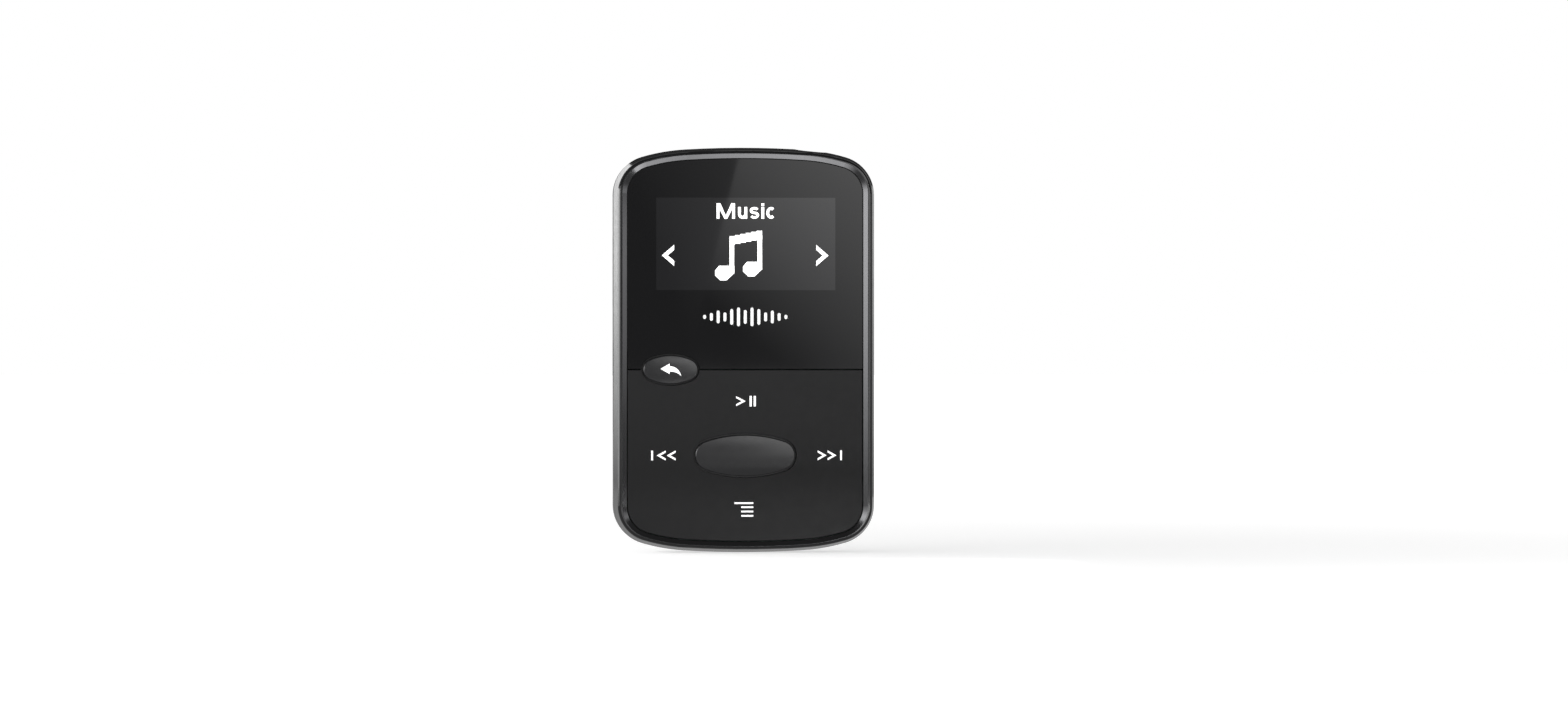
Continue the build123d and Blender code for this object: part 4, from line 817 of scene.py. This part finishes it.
def build_mirrored_cards():
    """Soft cards around the player: what its flanks, rims, trim ring and buttons mirror."""
    corners = [(x * MM, FLANK_CARD_Y, z * MM) for x, z in FLANK_CARD]
    emitter("flank_card", corners, *FLANK_GLOW)
    corners = [tuple(c * MM for c in corner) for corner in UNDER_CARD]
    emitter("under_card", corners, *UNDER_GLOW)
    for name, card in STANDING_CARDS.items():
        standing_card(name, *card)


def build_floor():
    """A pale floor that the player's lowest edge stands on; it fades into the white around."""
    z = CAD_BOX[0][2]
    mesh = bpy.data.meshes.new("studio_floor")
    half = FLOOR_HALF
    corners = [(-half, -half, z), (half, -half, z), (half, half, z), (-half, half, z)]
    mesh.from_pydata(corners, [], [(0, 1, 2, 3)])
    floor = bpy.data.objects.new("studio_floor", mesh)
    bpy.context.scene.collection.objects.link(floor)
    material, tree, shader = new_material("pale_floor")
    shader.inputs["Roughness"].default_value = 0.9
    shader.inputs["Specular IOR Level"].default_value = 0.0
    coords = object_coords(tree)
    away = add_node(tree, "ShaderNodeVectorMath", {0: coords}, operation="LENGTH").outputs["Value"]
    cloud = noise(tree, 1.5, 2.0, coords=coords).outputs["Fac"]
    tree.links.new(
        ramp(tree, cloud, [(0.3, (0.50, 0.50, 0.50)), (0.7, (0.52, 0.52, 0.52))]),
        shader.inputs["Base Color"],
    )
    glow_near = remap(tree, away, FLOOR_GLOW[0], FLOOR_GLOW[1], FLOOR_FADE[0], FLOOR_FADE[1])
    shader.inputs["Emission Color"].default_value = (1.0, 1.0, 1.0, 1.0)
    tree.links.new(glow_near, shader.inputs["Emission Strength"])
    seen = add_node(tree, "ShaderNodeLightPath").outputs["Is Camera Ray"]
    mirrored = add_node(tree, "ShaderNodeEmission", {"Strength": FLOOR_MIRRORED})
    inputs = {0: seen, 1: mirrored.outputs["Emission"], 2: shader.outputs["BSDF"]}
    mixed = add_node(tree, "ShaderNodeMixShader", inputs)
    output = next(node for node in tree.nodes if node.type == "OUTPUT_MATERIAL")
    tree.links.new(mixed.outputs["Shader"], output.inputs["Surface"])
    mesh.materials.append(material)


def build_world():
    """White behind the player; what the surfaces mirror is a darker tent with open sides."""
    world = bpy.data.worlds.new("studio_world")
    world.use_nodes = True
    tree = world.node_tree
    tree.nodes.clear()
    way = add_node(tree, "ShaderNodeTexCoord").outputs["Generated"]
    x, y, z = add_node(tree, "ShaderNodeSeparateXYZ", {"Vector": way}).outputs

    def soft(value, low, high):
        inputs = {"Value": value, "From Min": low, "From Max": high}
        node = add_node(tree, "ShaderNodeMapRange", inputs, interpolation_type="SMOOTHSTEP")
        return node.outputs["Result"]

    def mix(factor, first, second):
        return add_node(tree, "ShaderNodeMix", {0: factor, 2: first, 3: second}).outputs[0]

    side = mix(soft(y, *FRONT_FADE), FRONT_LEVEL, SIDE_LEVEL)
    level = mix(soft(y, *BACK_FADE), side, BACK_LEVEL)
    level = mix(soft(z, *SKY_FADE), level, SKY_LEVEL)
    seen = add_node(tree, "ShaderNodeLightPath").outputs["Is Camera Ray"]
    strength = mix(seen, level, 1.0)
    sky = add_node(
        tree, "ShaderNodeBackground", {"Color": (1.0, 1.0, 1.0, 1.0), "Strength": strength}
    )
    output = add_node(tree, "ShaderNodeOutputWorld")
    tree.links.new(sky.outputs["Background"], output.inputs["Surface"])
    bpy.context.scene.world = world


def build_camera():
    """A long lens, a little to the left of straight on."""
    camera_data = bpy.data.cameras.new("camera")
    camera = bpy.data.objects.new("camera", camera_data)
    bpy.context.scene.collection.objects.link(camera)
    bpy.context.scene.camera = camera
    camera_data.lens = LENS_LENGTH
    camera_data.sensor_width = SENSOR
    camera_data.shift_x = SHIFT[0]
    camera_data.shift_y = SHIFT[1]
    camera_data.clip_start = 0.05
    turn = math.radians(AZIMUTH)
    aim = Vector((0.0, PANEL_FRONT_Y, 0.0))
    camera.location = aim + Vector((math.sin(turn), -math.cos(turn), 0.0)) * CAMERA_DISTANCE
    camera.rotation_euler = (aim - camera.location).to_track_quat("-Z", "Y").to_euler()


build_floor()
build_world()
build_camera()
build_lens_cards()
build_mirrored_cards()
bpy.context.scene.view_settings.view_transform = "Standard"
